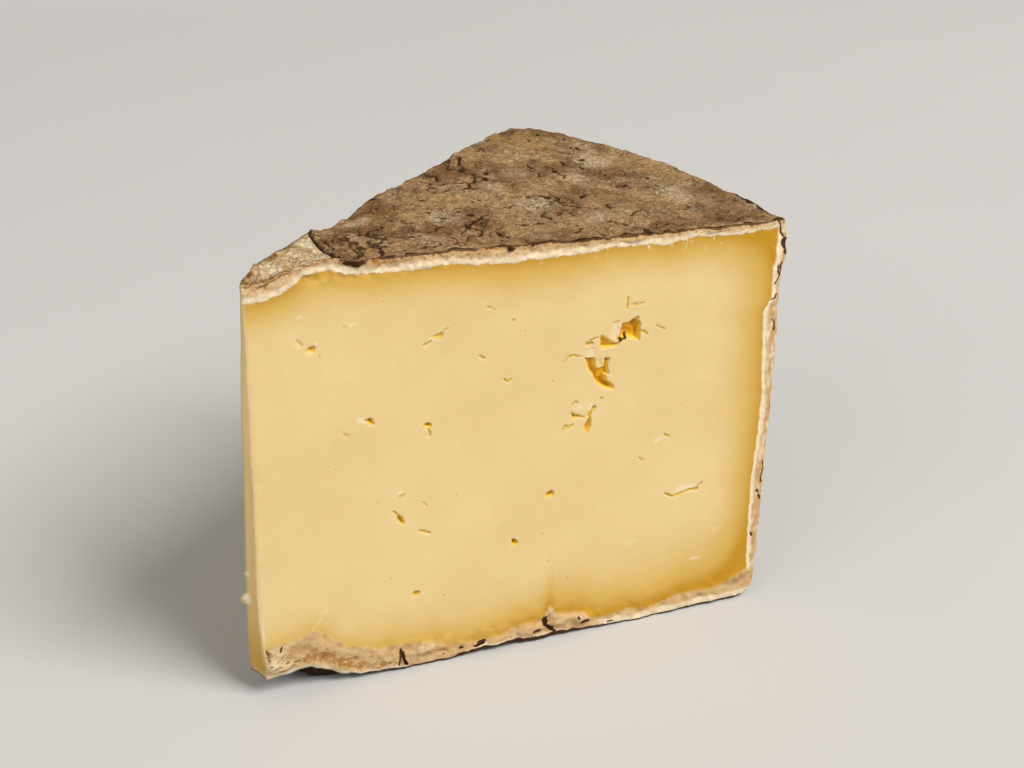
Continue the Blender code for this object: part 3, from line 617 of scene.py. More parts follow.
def oval_ring(oval, corners=10, ragged=0.2, seed=0):
    """Uneven ring round an oval given by centre, width, tallness and tilt in degrees."""
    x, y, width, tallness, tilt = oval[:5]
    random = np.random.default_rng(seed)
    bearing = 2.0 * math.pi * (np.arange(corners) + random.uniform(-0.25, 0.25, corners)) / corners
    grow = 1.0 + random.uniform(-ragged, ragged, corners)
    u = width / 2 * grow * np.cos(bearing)
    w = tallness / 2 * grow * np.sin(bearing)
    slope = math.radians(tilt)
    return np.column_stack([x + u * math.cos(slope) - w * math.sin(slope),
                            y + u * math.sin(slope) + w * math.cos(slope)])


def across_oval(points, x, y, half_width, half_height, tilt):
    """Places of the points along and across an oval, which has its edge one unit off."""
    slope = math.radians(tilt)
    dx = points[:, 0] - x
    dy = points[:, 1] - y
    return ((dx * math.cos(slope) + dy * math.sin(slope)) / half_width,
            (dy * math.cos(slope) - dx * math.sin(slope)) / half_height)


def in_oval(points, oval):
    """One in the middle of an oval, falling smoothly to zero a little past its edge."""
    x, y, width, tallness, tilt = oval[:5]
    u, w = across_oval(points, x, y, width / 2, tallness / 2, tilt)
    return 1.0 - ease(np.hypot(u, w), 0.55, 1.35)


def strongest(points, ovals):
    """Strongest of several ovals at each point, each with its strength as its last value."""
    best = np.zeros(len(points))
    for oval in ovals:
        best = np.maximum(best, oval[5] * in_oval(points, oval))
    return best


def near_shape(points, shape, margin):
    """Which points lie in the box round a shape, with a margin."""
    shape = np.asarray(shape, float)
    low, high = shape.min(axis=0) - margin, shape.max(axis=0) + margin
    return np.all((points > low) & (points < high), axis=1)


def openings_at(points, rings, cracks, wander):
    """Depth of the openings at each point, and how far inside an opening the point lies."""
    depth = np.zeros(len(points))
    inside = np.full(len(points), -LOOK_ROUND)
    for deep, ring in rings:
        near = near_shape(points, ring, LOOK_ROUND)
        within = inside_ring(points[near] + wander[near], ring)
        wall = WALL_WIDTH * (1.0 + 0.25 * deep)
        depth[near] = np.maximum(depth[near], deep * ease(within, -0.05, wall))
        inside[near] = np.maximum(inside[near], within)
    for deep, width, path in cracks:
        near = near_shape(points, path, LOOK_ROUND)
        within = width / 2 - distance_to_path(points[near] + 0.5 * wander[near], path)
        depth[near] = np.maximum(depth[near], deep * ease(within, -0.05, width / 2))
        inside[near] = np.maximum(inside[near], within)
    return depth, inside


def rings_of(openings, first_seed):
    """Depth and uneven ring of each small opening."""
    return [(oval[5], oval_ring(oval, seed=first_seed + number))
            for number, oval in enumerate(openings)]


def front_rings():
    """All rings of the front cut's openings with their depths."""
    return list(TORN_OPENING) + rings_of(SMALL_OPENINGS, 200)


def back_rings():
    """All rings of the back cut's openings with their depths."""
    return rings_of(BACK_OPENINGS, 300)


# Points of the sides

def nested_points(low, high, finest, spacing_at):
    """Hexagonal points over a box, thinned by halves to the spacing wanted at each place."""
    row_step = finest * HEXAGON_ROW
    rows = int((high[1] - low[1]) / row_step) + 1
    columns = int((high[0] - low[0]) / finest) + 1
    row, column = np.meshgrid(np.arange(rows), np.arange(-rows // 2 - 1, columns), indexing="ij")
    x = low[0] + (column + 0.5 * row) * finest
    y = low[1] + row * row_step
    inside = (x > low[0]) & (x < high[0])
    row, column, x, y = row[inside], column[inside], x[inside], y[inside]
    wanted = np.maximum(spacing_at(x, y), finest) / finest
    level = np.minimum(np.floor(np.log2(wanted)), COARSEST_LEVEL).astype(int)
    step = 2 ** level
    keep = (row % step == 0) & (column % step == 0)
    return np.column_stack([x[keep], y[keep]]), step[keep] * finest


class Shell:
    """Points and faces of the wedge while it is put together."""

    def __init__(self):
        """Start without points or faces."""
        self.rows = []
        self.count = 0
        self.faces = []
        self.face_sides = []
        self.members = {}

    def add(self, x, y, share, across):
        """Add points and return their numbers."""
        rows = np.column_stack(np.broadcast_arrays(x, y, share, across)).astype(float)
        first = self.count
        self.rows.append(rows)
        self.count += len(rows)
        return list(range(first, self.count))

    def fill(self, side, outline, flat_outline, inner, flat_inner, turned):
        """Fill one side with triangles between its outline and its inner points."""
        numbers = list(outline) + list(inner)
        flat = np.vstack([flat_outline, flat_inner]) if len(flat_inner) else np.array(flat_outline)
        points = [Vector(point) for point in flat]
        loop = list(range(len(outline)))
        edges = list(zip(loop, loop[1:] + loop[:1]))
        placed, _, faces, origins, _, _ = delaunay_2d_cdt(points, edges, [loop], 1, 1e-7)
        if len(placed) != len(points):
            raise RuntimeError(f"the {side} side's points run into each other")
        number_of = [numbers[origin[0]] for origin in origins]
        for face in faces:
            corners = [number_of[i] for i in face]
            self.faces.append(corners[::-1] if turned else corners)
        self.face_sides += [side] * len(faces)
        self.members[side] = np.array(numbers)

    def all_rows(self):
        """Rows of all points so far."""
        return np.vstack(self.rows)


def spread(count, start=0.0, end=1.0):
    """Evenly spaced values strictly between start and end."""
    return start + (end - start) * np.arange(1, count) / count


def wedge_shell(form):
    """The shell of the whole wedge: corners, edges, then its six sides."""
    shell = Shell()
    radius, angle = form.radius, form.angle
    corner_plans = {
        "thin_front": (0.0, 0.0, 0.0),
        "rim_front": (radius, 0.0, 0.0),
        "rim_back": (radius * math.cos(angle), radius * math.sin(angle), 1.0),
        "thin_back": (*form.back_plan(0.0), 1.0),
    }
    corner = {}
    for name, (x, y, across) in corner_plans.items():
        for level, share in (("base", 0.0), ("top", 1.0)):
            corner[name, level] = shell.add([x], [y], [share], [across])[0]

    columns = {}
    for name, (x, y, across) in corner_plans.items():
        share = spread(COLUMN_POINTS[name])
        columns[name] = (shell.add(x, y, share, across), share * SHARE_SCALE)

    runs = {}
    for level, share in (("base", 0.0), ("top", 1.0)):
        counts = RUN_POINTS[level]
        front_x = spread(counts[0]) * radius
        bearing = spread(counts[1]) * angle
        distance = spread(counts[2]) * radius
        width = spread(counts[3])
        back_x, back_y = form.back_plan(distance)
        end_x, end_y = form.back_plan(0.0)
        runs["front", level] = (shell.add(front_x, 0.0, share, 0.0), front_x)
        runs["rim", level] = (shell.add(radius * np.cos(bearing), radius * np.sin(bearing), share,
                                        bearing / angle), bearing * radius)
        runs["back", level] = (shell.add(back_x, back_y, share, 1.0), distance)
        runs["thin", level] = (shell.add(width * end_x, width * end_y, share, width),
                               width * form.thin_end * THIN_SIDE_SCALE)

    fill_upright(shell, "front", corner, columns, runs, radius, front_spacing, FRONT_FINEST,
                 lambda u, share: (u, 0.0, share, 0.0), ("thin_front", "rim_front"))
    fill_upright(shell, "rim", corner, columns, runs, radius * angle, even_spacing, RIM_FINEST,
                 lambda u, share: (radius * np.cos(u / radius), radius * np.sin(u / radius), share,
                                   u / (radius * angle)), ("rim_front", "rim_back"))
    fill_upright(shell, "back", corner, columns, runs, radius, back_spacing, BACK_FINEST,
                 lambda u, share: (*form.back_plan(u), share, 1.0), ("thin_back", "rim_back"))
    end_x, end_y = form.back_plan(0.0)
    thin_width = form.thin_end * THIN_SIDE_SCALE
    fill_upright(shell, "thin", corner, columns, runs, thin_width, even_spacing, THIN_FINEST,
                 lambda u, share: (u / thin_width * end_x, u / thin_width * end_y, share,
                                   u / thin_width), ("thin_front", "thin_back"))
    fill_cap(shell, form, "top", corner, runs, even_spacing, TOP_FINEST)
    fill_cap(shell, form, "base", corner, runs, base_spacing, BASE_FINEST)
    return shell


def fill_upright(shell, side, corner, columns, runs, width, spacing_at, finest, plan, ends):
    """Fill an upright side, given its width, its spacing, its plan and its two end columns."""
    start, end = ends
    base, base_u = runs[side, "base"]
    top, top_u = runs[side, "top"]
    rising, rising_share = columns[end]
    falling, falling_share = columns[start]
    outline = [corner[start, "base"], *base, corner[end, "base"], *rising, corner[end, "top"],
               *top[::-1], corner[start, "top"], *falling[::-1]]
    flat_outline = [(0.0, 0.0), *zip(base_u, np.zeros(len(base_u))), (width, 0.0),
                    *zip(np.full(len(rising), width), rising_share), (width, SHARE_SCALE),
                    *zip(top_u[::-1], np.full(len(top_u), SHARE_SCALE)), (0.0, SHARE_SCALE),
                    *zip(np.zeros(len(falling)), falling_share[::-1])]
    flat, step = nested_points((0.0, 0.0), (width, SHARE_SCALE), finest, spacing_at)
    room = np.minimum.reduce([flat[:, 0], width - flat[:, 0], flat[:, 1], SHARE_SCALE - flat[:, 1]])
    flat = flat[room > ROOM_AT_EDGE * step]
    inner = shell.add(*plan(flat[:, 0], flat[:, 1] / SHARE_SCALE))
    shell.fill(side, outline, flat_outline, inner, flat, turned=side in ("back", "thin"))


def fill_cap(shell, form, side, corner, runs, spacing_at, finest):
    """Fill the top or the base in plan."""
    outline = [corner["thin_front", side], *runs["front", side][0], corner["rim_front", side],
               *runs["rim", side][0], corner["rim_back", side], *runs["back", side][0][::-1],
               corner["thin_back", side], *runs["thin", side][0][::-1]]
    rows = shell.all_rows()[outline]
    share = 1.0 if side == "top" else 0.0
    flat, step = nested_points((0.0, 0.0), (form.radius, form.radius * math.sin(form.angle)), finest,
                               spacing_at)
    x, y = flat.T
    room = np.minimum.reduce([y, form.from_back(x, y), form.radius - np.hypot(x, y)])
    keep = room > ROOM_AT_EDGE * step
    x, y = x[keep], y[keep]
    inner = shell.add(x, y, share, np.arctan2(y, x) / form.angle)
    shell.fill(side, outline, rows[:, :2], inner, flat[keep], turned=side == "base")


def finer_near(wanted, points, rings, cracks, finest, ring_growth, ring_grows_from):
    """Lower the wanted spacing to the finest beside openings and cracks."""
    for _, ring in rings:
        near = near_shape(points, ring, LOOK_ROUND)
        away = np.maximum(-inside_ring(points[near], ring) - ring_grows_from, 0.0)
        wanted[near] = np.minimum(wanted[near], finest + ring_growth * away)
    for _, width, path in cracks:
        near = near_shape(points, path, LOOK_ROUND)
        away = distance_to_path(points[near], path) - width / 2
        away = np.maximum(away - CRACK_GROWS_FROM, 0.0)
        wanted[near] = np.minimum(wanted[near], finest + CRACK_GROWTH * away)
    return wanted


def front_spacing(x, z):
    """Wanted spacing of points on the front cut; z is close to the height there."""
    wanted = np.full(len(x), FRONT_QUIET)
    near_foot = z < along(FOOT_BORDER, x) + 2
    wanted[(z > 94) | near_foot | (x > 116.5) | (x < 1.5)] = FRONT_NEAR_RIND
    wanted[(z > 96.8) & (z < 100.0)] = FRONT_FINEST
    return finer_near(wanted, np.column_stack([x, z]), front_rings(), CUT_CRACKS, FRONT_FINEST,
                      0.45, 0.5)


def back_spacing(distance, z):
    """Wanted spacing of points on the back cut."""
    wanted = np.full(len(distance), BACK_QUIET)
    wanted[(z > 94) | (z < 8) | (distance > 116.5)] = BACK_NEAR_RIND
    return finer_near(wanted, np.column_stack([distance, z]), back_rings(), BACK_CRACKS,
                      BACK_FINEST, 0.6, 0.6)


def even_spacing(x, _):
    """No spacing wider than the side's finest."""
    return np.zeros(len(x))


def base_spacing(_, y):
    """Wanted spacing of points on the underside, finer beside the front cut."""
    return np.where(y < BASE_FINE_STRIP, BASE_FINEST, BASE_QUIET)


# Relief and marks of each side

def wander_at(points, seed):
    """Small seeded shift of flat points, which makes drawn borders ragged."""
    space = flat_points(points[:, 0], points[:, 1])
    shift = [0.22 * noise(space, 1.3, seed + axis) + 0.12 * noise(space, 0.6, seed + 5 + axis)
             for axis in (0, 1)]
    return np.column_stack(shift)


def cut_marks(marks, numbers, distance, height, borders):
    """Distances to the borders of a cut face's layers."""
    crust, pale_layer, foot, strip = borders
    marks["crust"][numbers] = height - crust
    marks["pale_layer"][numbers] = height - pale_layer
    marks["foot"][numbers] = foot - height
    marks["strip"][numbers] = distance - strip
    share = 0.55 + 0.75 * ease(distance, 5.0, 105.0)
    warmth = 0.95 * np.exp(-np.maximum(pale_layer - height, 0.0) / LAYER_WARMTH_REACH)
    warmth = warmth + share * np.exp(-np.maximum(height - foot, 0.0) / FOOT_WARMTH_REACH)
    beside_strip = np.exp(-np.maximum(strip - distance, 0.0) / STRIP_WARMTH_REACH)
    marks["warmth"][numbers] = warmth + 0.9 * beside_strip


def cut_relief(distance, height, rings, cracks, crumbs, foot, seed):
    """Outward relief of a cut face, with its openings' depth and distances."""
    points = np.column_stack([distance, height])
    wander = wander_at(points, seed)
    depth, inside = openings_at(points, rings, cracks, wander)
    for face_depth, ring in crumbs:
        near = near_shape(points, ring, LOOK_ROUND)
        crumb = ease(inside_ring(points[near] + wander[near], ring), -0.1, 0.4)
        depth[near] = depth[near] * (1.0 - crumb) + face_depth * crumb
    space = flat_points(distance, height)
    uneven = folds(space, ((22.0, 0.12, seed + 20), (7.0, 0.05, seed + 21), (2.0, 0.02, seed + 22)))
    floor = 1.0 + 0.35 * noise(space, 0.9, seed + 23)
    flakes = flaky(space, seed + 24)
    relief = uneven - depth * floor + flakes * ease(foot - height, -0.4, 0.8)
    return relief + 0.8 * flakes * ease(height, 96.5, 98.5), depth, inside


def flaky(space, seed):
    """Relief of flaky rind: broken ridges with fine grit on them."""
    ridges = 1.0 - np.abs(noise(space, 2.8, seed) + 0.5 * noise(space, 1.3, seed + 1))
    return 0.42 * (ridges - 0.65) + 0.12 * noise(space, 0.8, seed + 2)


def front_side(shell, points, marks):
    """Relief of the front cut, and all its marks."""
    numbers = shell.members["front"]
    x, z = points[numbers][:, 0], points[numbers][:, 2]
    foot = along(FOOT_BORDER, x)
    crust = along(FRONT_TOP_EDGE, x) - CRUST_THICKNESS + 3.0 * (1.0 - ease(x, *CRUST_STARTS))
    pale_layer = along(PALE_LAYER_BORDER, x)
    borders = (crust, pale_layer, foot, along(STRIP_BORDER, z))
    cut_marks(marks, numbers, x, z, borders)
    relief, depth, inside = cut_relief(x, z, front_rings(), CUT_CRACKS, CRUMBS, foot, 60)
    flat = np.column_stack([x, z])
    above_edge = z - along(FRONT_BASE_EDGE, x)
    low_band = 1.0 - ease(above_edge, 1.4, 2.4)
    pale_foot = 0.85 * ease(x, 74.0, 84.0) * low_band + 0.4 * (foot > z) * (1.0 - ease(x, 3.0, 9.0))
    marks["opening"][numbers] = inside
    marks["depth"][numbers] = depth
    marks["tip_rind"][numbers] = z - along(FRONT_TOP_EDGE, x) + along(TIP_DRIP, x)
    over_gap = ease(above_edge, 0.7, 0.9) * (1.0 - ease(above_edge, 1.2, 1.6))
    lifted = ease(x, 42.0, 49.0) * (1.0 - ease(x, 68.0, 76.0))
    pale_foot = np.maximum(pale_foot, 0.7 * lifted * over_gap)
    marks["pale"][numbers] = np.maximum(strongest(flat + wander_at(flat, 90), PALE_PLACES), pale_foot)
    marks["stain"][numbers] = strongest(flat + 2.0 * wander_at(flat, 91), STAINS)
    marks["dark"][numbers] = strongest(flat + wander_at(flat, 92), DARK_SPOTS)
    marks["lip"][numbers] = (1.0 - ease(above_edge, 0.5, 1.2)) * (1.0 - ease(x, 28.0, 36.0))
    # Painted contact shadow: a dark band along the bottom of the front cut from 14 mm on, higher where the
    # foot is lifted, over the foot's dark underside
    gap = 0.45 * lifted
    under = ease(x, 14.0, 24.0) * (1.0 - ease(above_edge - gap, 0.2, 0.6))
    marks["dark"][numbers] = np.maximum(marks["dark"][numbers], under)
    marks["crevice"][numbers] = -4.0 * flaky(flat_points(x, z), 84)
    # Paler strip along the front edge at the thin end: worn paste with a painted highlight of the edge
    worn_edge_highlight = 0.5 * (1.0 - ease(x, 0.0, 0.6))
    marks["pale"][numbers] = np.maximum(marks["pale"][numbers], worn_edge_highlight)
    fibres = ease(x, 58.0, 72.0) * (1.0 - ease(x, 106.0, 114.0))
    marks["fibres"][numbers] = fibres * np.exp(-np.maximum(pale_layer - z, 0.0) / 1.8)
    return relief + 0.3 * marks["lip"][numbers]


def back_side(shell, form, points, marks):
    """Relief of the back cut, and its marks."""
    numbers = shell.members["back"]
    place = points[numbers]
    distance = place[:, 0] * math.cos(form.angle) + place[:, 1] * math.sin(form.angle)
    z = place[:, 2]
    space = flat_points(distance, np.zeros(len(distance)))
    top = form.height - TOP_FALL_TO_RIM * distance
    crust = top - 1.3 + 0.4 * noise(space, 7.0, 71)
    pale_layer = top - 5.0 + 0.9 * noise(space, 11.0, 72) + 0.3 * noise(space, 3.0, 73)
    foot = 4.6 + 1.4 * noise(space, 12.0, 74) + 0.7 * noise(space, 4.0, 75)
    foot = foot + 5.0 * (1.0 - ease(distance, 4.0, 22.0))
    upright = flat_points(np.zeros(len(z)), z)
    strip = form.radius - 2.6 + 0.5 * noise(upright, 9.0, 76)
    cut_marks(marks, numbers, distance, z, (crust, pale_layer, foot, strip))
    relief, depth, inside = cut_relief(distance, z, back_rings(), BACK_CRACKS, (), foot, 160)
    marks["opening"][numbers] = inside
    marks["depth"][numbers] = depth
    flat = np.column_stack([distance, z])
    marks["pale"][numbers] = strongest(flat + wander_at(flat, 170), BACK_PALE_PLACES)
    marks["crevice"][numbers] = -4.0 * flaky(flat_points(distance, z), 184)
    marks["stain"][numbers] = 0.8 * ease(noise(flat_points(distance, z), 4.0, 78), 0.3, 0.7) * (foot > z)
    return relief


def thin_side(shell, points, marks):
    """Relief and marks of the narrow thin end."""
    numbers = shell.members["thin"]
    across = shell.all_rows()[numbers][:, 3]
    z = points[numbers][:, 2]
    marks["crust"][numbers] = FAR
    marks["pale_layer"][numbers] = z - 95.2
    marks["foot"][numbers] = 6.8 - z
    marks["warmth"][numbers] = 0.5 * (1.0 - ease(z, 10.0, 60.0)) + 0.4 * (1.0 - ease(z, 6.0, 24.0))
    marks["ochre"][numbers] = ease(z, 4.0, 34.0)
    chips = sum(np.exp(-((z - height) / half) ** 2) for height, half, _ in CHIPS)
    marks["pale"][numbers] = 2.0 * chips * ease(across, 0.55, 0.9)
    return folds(points[numbers], ((6.0, 0.12, 81), (1.8, 0.06, 82)))


def crack_lines(space, size, width, seed):
    """One along thin winding lines, zero elsewhere; the lines keep their width in millimetres."""

    def wave(points):
        """Two layers of noise, which is zero along the lines."""
        return noise(points, size, seed) + 0.4 * noise(points, 0.36 * size, seed + 1)

    step = 0.05 * size
    here = wave(space)
    slope = [(wave(space + step * np.eye(3)[axis]) - here) / step for axis in range(3)]
    away = np.abs(here) / (np.linalg.norm(slope, axis=0) + 0.02)
    return 1.0 - ease(away, 0.0, width)


def rind_relief(space, seed, depth, wrinkled=0.5):
    """Fine outward relief of the rind and how deep in a crack or pit each point is."""
    patch = ease(noise(space, 14.0, seed + 8) + wrinkled - 0.5, -0.1, 0.5)
    fine_patch = ease(noise(space, 6.0, seed + 9) + wrinkled - 0.6, 0.0, 0.5)
    cracks = patch * crack_lines(space, 10.0, 0.55, seed)
    wrinkles = fine_patch * crack_lines(space, 4.4, 0.50, seed + 2)
    lumps = folds(space, ((7.0, 0.16, seed + 3), (3.4, 0.13, seed + 4), (1.6, 0.07, seed + 5)))
    pits = ease(noise(space, 1.5, seed + 7), 0.70, 0.85)
    relief = depth * (lumps - 0.34 * cracks - 0.24 * wrinkles - 0.25 * pits)
    crevice = 1.1 * cracks + 0.75 * wrinkles + 0.6 * pits - 0.9 * lumps
    return relief, crevice


def top_side(shell, form, points, marks, depth):
    """Relief of the upper rind, and its marks."""
    numbers = shell.members["top"]
    x, y = points[numbers][:, 0], points[numbers][:, 1]
    flat = np.column_stack([x, y])
    wrinkled = strongest(flat, TOP_WRINKLED_PLACES)
    relief, crevice = rind_relief(flat_points(x, y), 401, depth, wrinkled)
    streaks = noise(flat_points(x, 0.22 * y), 3.6, 440) * ease(x, 55.0, 75.0)
    relief += 0.30 * streaks
    crevice -= 0.4 * streaks
    wander = 3.0 * wander_at(flat, 420)
    for deep, width, path in TOP_CRACKS:
        near = near_shape(flat, path, LOOK_ROUND)
        straying = 0.3 if deep >= MAIN_CRACK_DEPTH else 1.0
        away = distance_to_path(flat[near] + straying * wander[near], path)
        groove = 1.0 - ease(away, 0.0, width)
        relief[near] -= deep * groove
        crevice[near] = np.maximum(crevice[near], 1.4 * groove)
    on_tip = 1.0 - ease(form.from_crust_edge(x, y), -1.4, -0.8)
    relief *= 1.0 - 0.4 * on_tip
    marks["crevice"][numbers] = crevice * (1.0 - 0.75 * on_tip)
    marks["pale"][numbers] = np.maximum(marks["pale"][numbers], strongest(flat + wander, TOP_PALE_PLACES))
    marks["ochre"][numbers] = strongest(flat + wander, TOP_OCHRE_PLACES)
    from_back = form.from_back(x, y)
    marks["tip_edge"][numbers] = 1.0 - ease(np.minimum(y, from_back) + wander[:, 0], 0.5, 1.4)
    marks["tip"][numbers] = 1.0 - ease(form.from_crust_edge(x, y) + 0.3 * wander[:, 0], -0.5, -0.1)
    edge = 0.9 * (1.0 - ease(y + 1.3 * noise(flat_points(x, y), 1.8, 430), 0.0, 0.5)) * (x > 20)
    dark = np.maximum(strongest(flat + wander, TOP_DARK_PLACES), edge)
    marks["dark"][numbers] = np.maximum(marks["dark"][numbers], dark)
    return relief


def crumpled(points, depth):
    """Shift of each point where the rind and the edges of the cuts are uneven."""
    x, y, z = points.T
    reach = np.hypot(x, y)
    near_top = ease(z, 96.0, 99.0)
    near_base = 1.0 - ease(z, 3.0, 13.0)
    near_rim = ease(reach, 117.0, 119.5)
    near_tip = 0.2 * (1.0 - ease(reach, 1.0, 4.0))
    rough = np.maximum.reduce([near_top, near_base, near_rim, near_tip])
    shift = np.column_stack([folds(points, ((2.1, 0.22, 40 + axis), (0.9, 0.15, 50 + axis)))
                             for axis in range(3)])
    shift *= depth * rough[:, None]
    shift[:, 2] *= ease(z, 0.0, 2.0)
    return shift


def knob_push(points):
    """How far the knobs push each point out of the front cut."""
    push = np.zeros(len(points))
    near_front = np.exp(-(points[:, 1] / KNOB_REACH) ** 2)
    flat = points[:, [0, 2]]
    for x, z, half_width, half_height, stands_out, tilt in KNOBS:
        u, w = across_oval(flat, x, z, half_width, half_height, tilt)
        round_off = np.clip(1.0 - (u * u + w * w), 0.0, 1.0)
        push = np.maximum(push, stands_out * np.sqrt(round_off))
    return push * near_front


def chip_push(points, form):
    """How far the chips of the thin end push each point outward."""
    end_x, end_y = form.back_plan(0.0)
    lean = form.lean * (BACK_CUT_LEAN_FROM - points[:, 2])
    away = np.hypot(points[:, 0] - end_x + lean * math.sin(form.angle),
                    points[:, 1] - end_y - lean * math.cos(form.angle))
    push = np.zeros(len(points))
    for height, half, stands_out in CHIPS:
        push += stands_out * np.exp(-(np.abs(points[:, 2] - height) / half) ** 3)
    return push * np.exp(-(away / CHIP_REACH) ** 2)


def uneven_edges(points, rows, form):
    """How far the rim edge and the thin end's back edge move each point along the front cut."""
    x, y, z = points.T
    at_rim = ease(x, RIM_EDGE_FROM, form.radius) * np.exp(-(y / RIM_EDGE_REACH) ** 2)
    at_thin_back = rows[:, 3] * np.exp(-(np.hypot(x, y) / THIN_BACK_EDGE_REACH) ** 2)
    at_thin_front = (1.0 - rows[:, 3]) * np.exp(-(np.hypot(x, y) / THIN_FRONT_EDGE_REACH) ** 2)
    at_thin_end = along(THIN_BACK_EDGE, z) * at_thin_back + along(THIN_FRONT_EDGE, z) * at_thin_front
    return along(RIM_EDGE, z) * at_rim - at_thin_end


def edge_fade(rows, form, side):
    """Zero on a side's outline, one a little way in."""
    x, y, share, across = rows.T
    reach = np.hypot(x, y)
    height = share * SHARE_SCALE
    if side in ("front", "back"):
        room = np.minimum.reduce([height, SHARE_SCALE - height, form.radius - reach, reach])
    elif side == "rim":
        room = np.minimum.reduce([height, SHARE_SCALE - height, across * form.radius * form.angle,
                                  (1.0 - across) * form.radius * form.angle])
    elif side == "thin":
        width = form.thin_end * THIN_SIDE_SCALE
        room = np.minimum.reduce([height, SHARE_SCALE - height, across * width, (1.0 - across) * width])
    else:
        room = np.minimum.reduce([y, form.from_back(x, y), form.radius - reach])
    return ease(room, 0.0, FADE_WIDTH)


def finished_points(shell, form, settings):
    """All points of the wedge in place, and the marks on them."""
    rows = shell.all_rows()
    points = form.place(rows)
    marks = {name: np.zeros(len(rows)) for name in MARKS}
    for name in BORDER_MARKS:
        marks[name][:] = FAR
    depth = settings.rind_roughness
    angle = form.angle
    lean = math.atan(form.lean)
    outward = {
        "back": (-math.sin(angle) * math.cos(lean), math.cos(angle) * math.cos(lean), math.sin(lean)),
        "thin": (-math.cos(angle / 2), -math.sin(angle / 2), 0.0),
        "front": (0.0, -1.0, 0.0),
        "top": (0.0, 0.0, 1.0),
        "base": (0.0, 0.0, 1.0),
    }
    moved = points.copy()

    def push(side, relief):
        """Move a side's points outward by its relief, fading to nothing at its outline."""
        numbers = shell.members[side]
        amount = relief * edge_fade(rows[numbers], form, side)
        if side == "rim":
            direction = points[numbers] * (1.0, 1.0, 0.0)
            direction /= np.linalg.norm(direction, axis=1)[:, None]
        else:
            direction = np.array(outward[side])
        moved[numbers] += amount[:, None] * direction

    rim = points[shell.members["rim"]]
    relief, crevice = rind_relief(rim, 501, depth)
    marks["crevice"][shell.members["rim"]] = crevice
    push("rim", relief)
    base = points[shell.members["base"]]
    relief, crevice = rind_relief(base, 601, depth)
    marks["crevice"][shell.members["base"]] = crevice
    # Painted shade: the underside is marked dark near the thin end and along the front edge, where it hangs
    # over the floor in shade
    near_tip = 1.0 - ease(np.hypot(base[:, 0], base[:, 1]), 16.0, 30.0)
    marks["dark"][shell.members["base"]] = np.maximum(near_tip, 1.0 - ease(base[:, 1], 3.6, 5.6))
    push("base", np.maximum(-relief, 0.0) * 0.4)
    push("thin", thin_side(shell, points, marks))
    push("back", back_side(shell, form, points, marks))
    push("front", front_side(shell, points, marks))
    push("top", top_side(shell, form, points, marks, depth))
    moved += crumpled(points, depth)
    moved[:, 1] -= knob_push(points)
    moved[:, 0] -= chip_push(points, form)
    moved[:, 0] += uneven_edges(points, rows, form)
    moved[:, 2] = np.maximum(moved[:, 2], 0.0)
    return moved, marks


# Materials

def tone(red, green, blue):
    """Scene-linear colour from the eight-bit values that a screen shows."""
    linear = [value / 255 / 12.92 if value <= 10 else ((value / 255 + 0.055) / 1.055) ** 2.4
              for value in (red, green, blue)]
    return (*linear, 1.0)


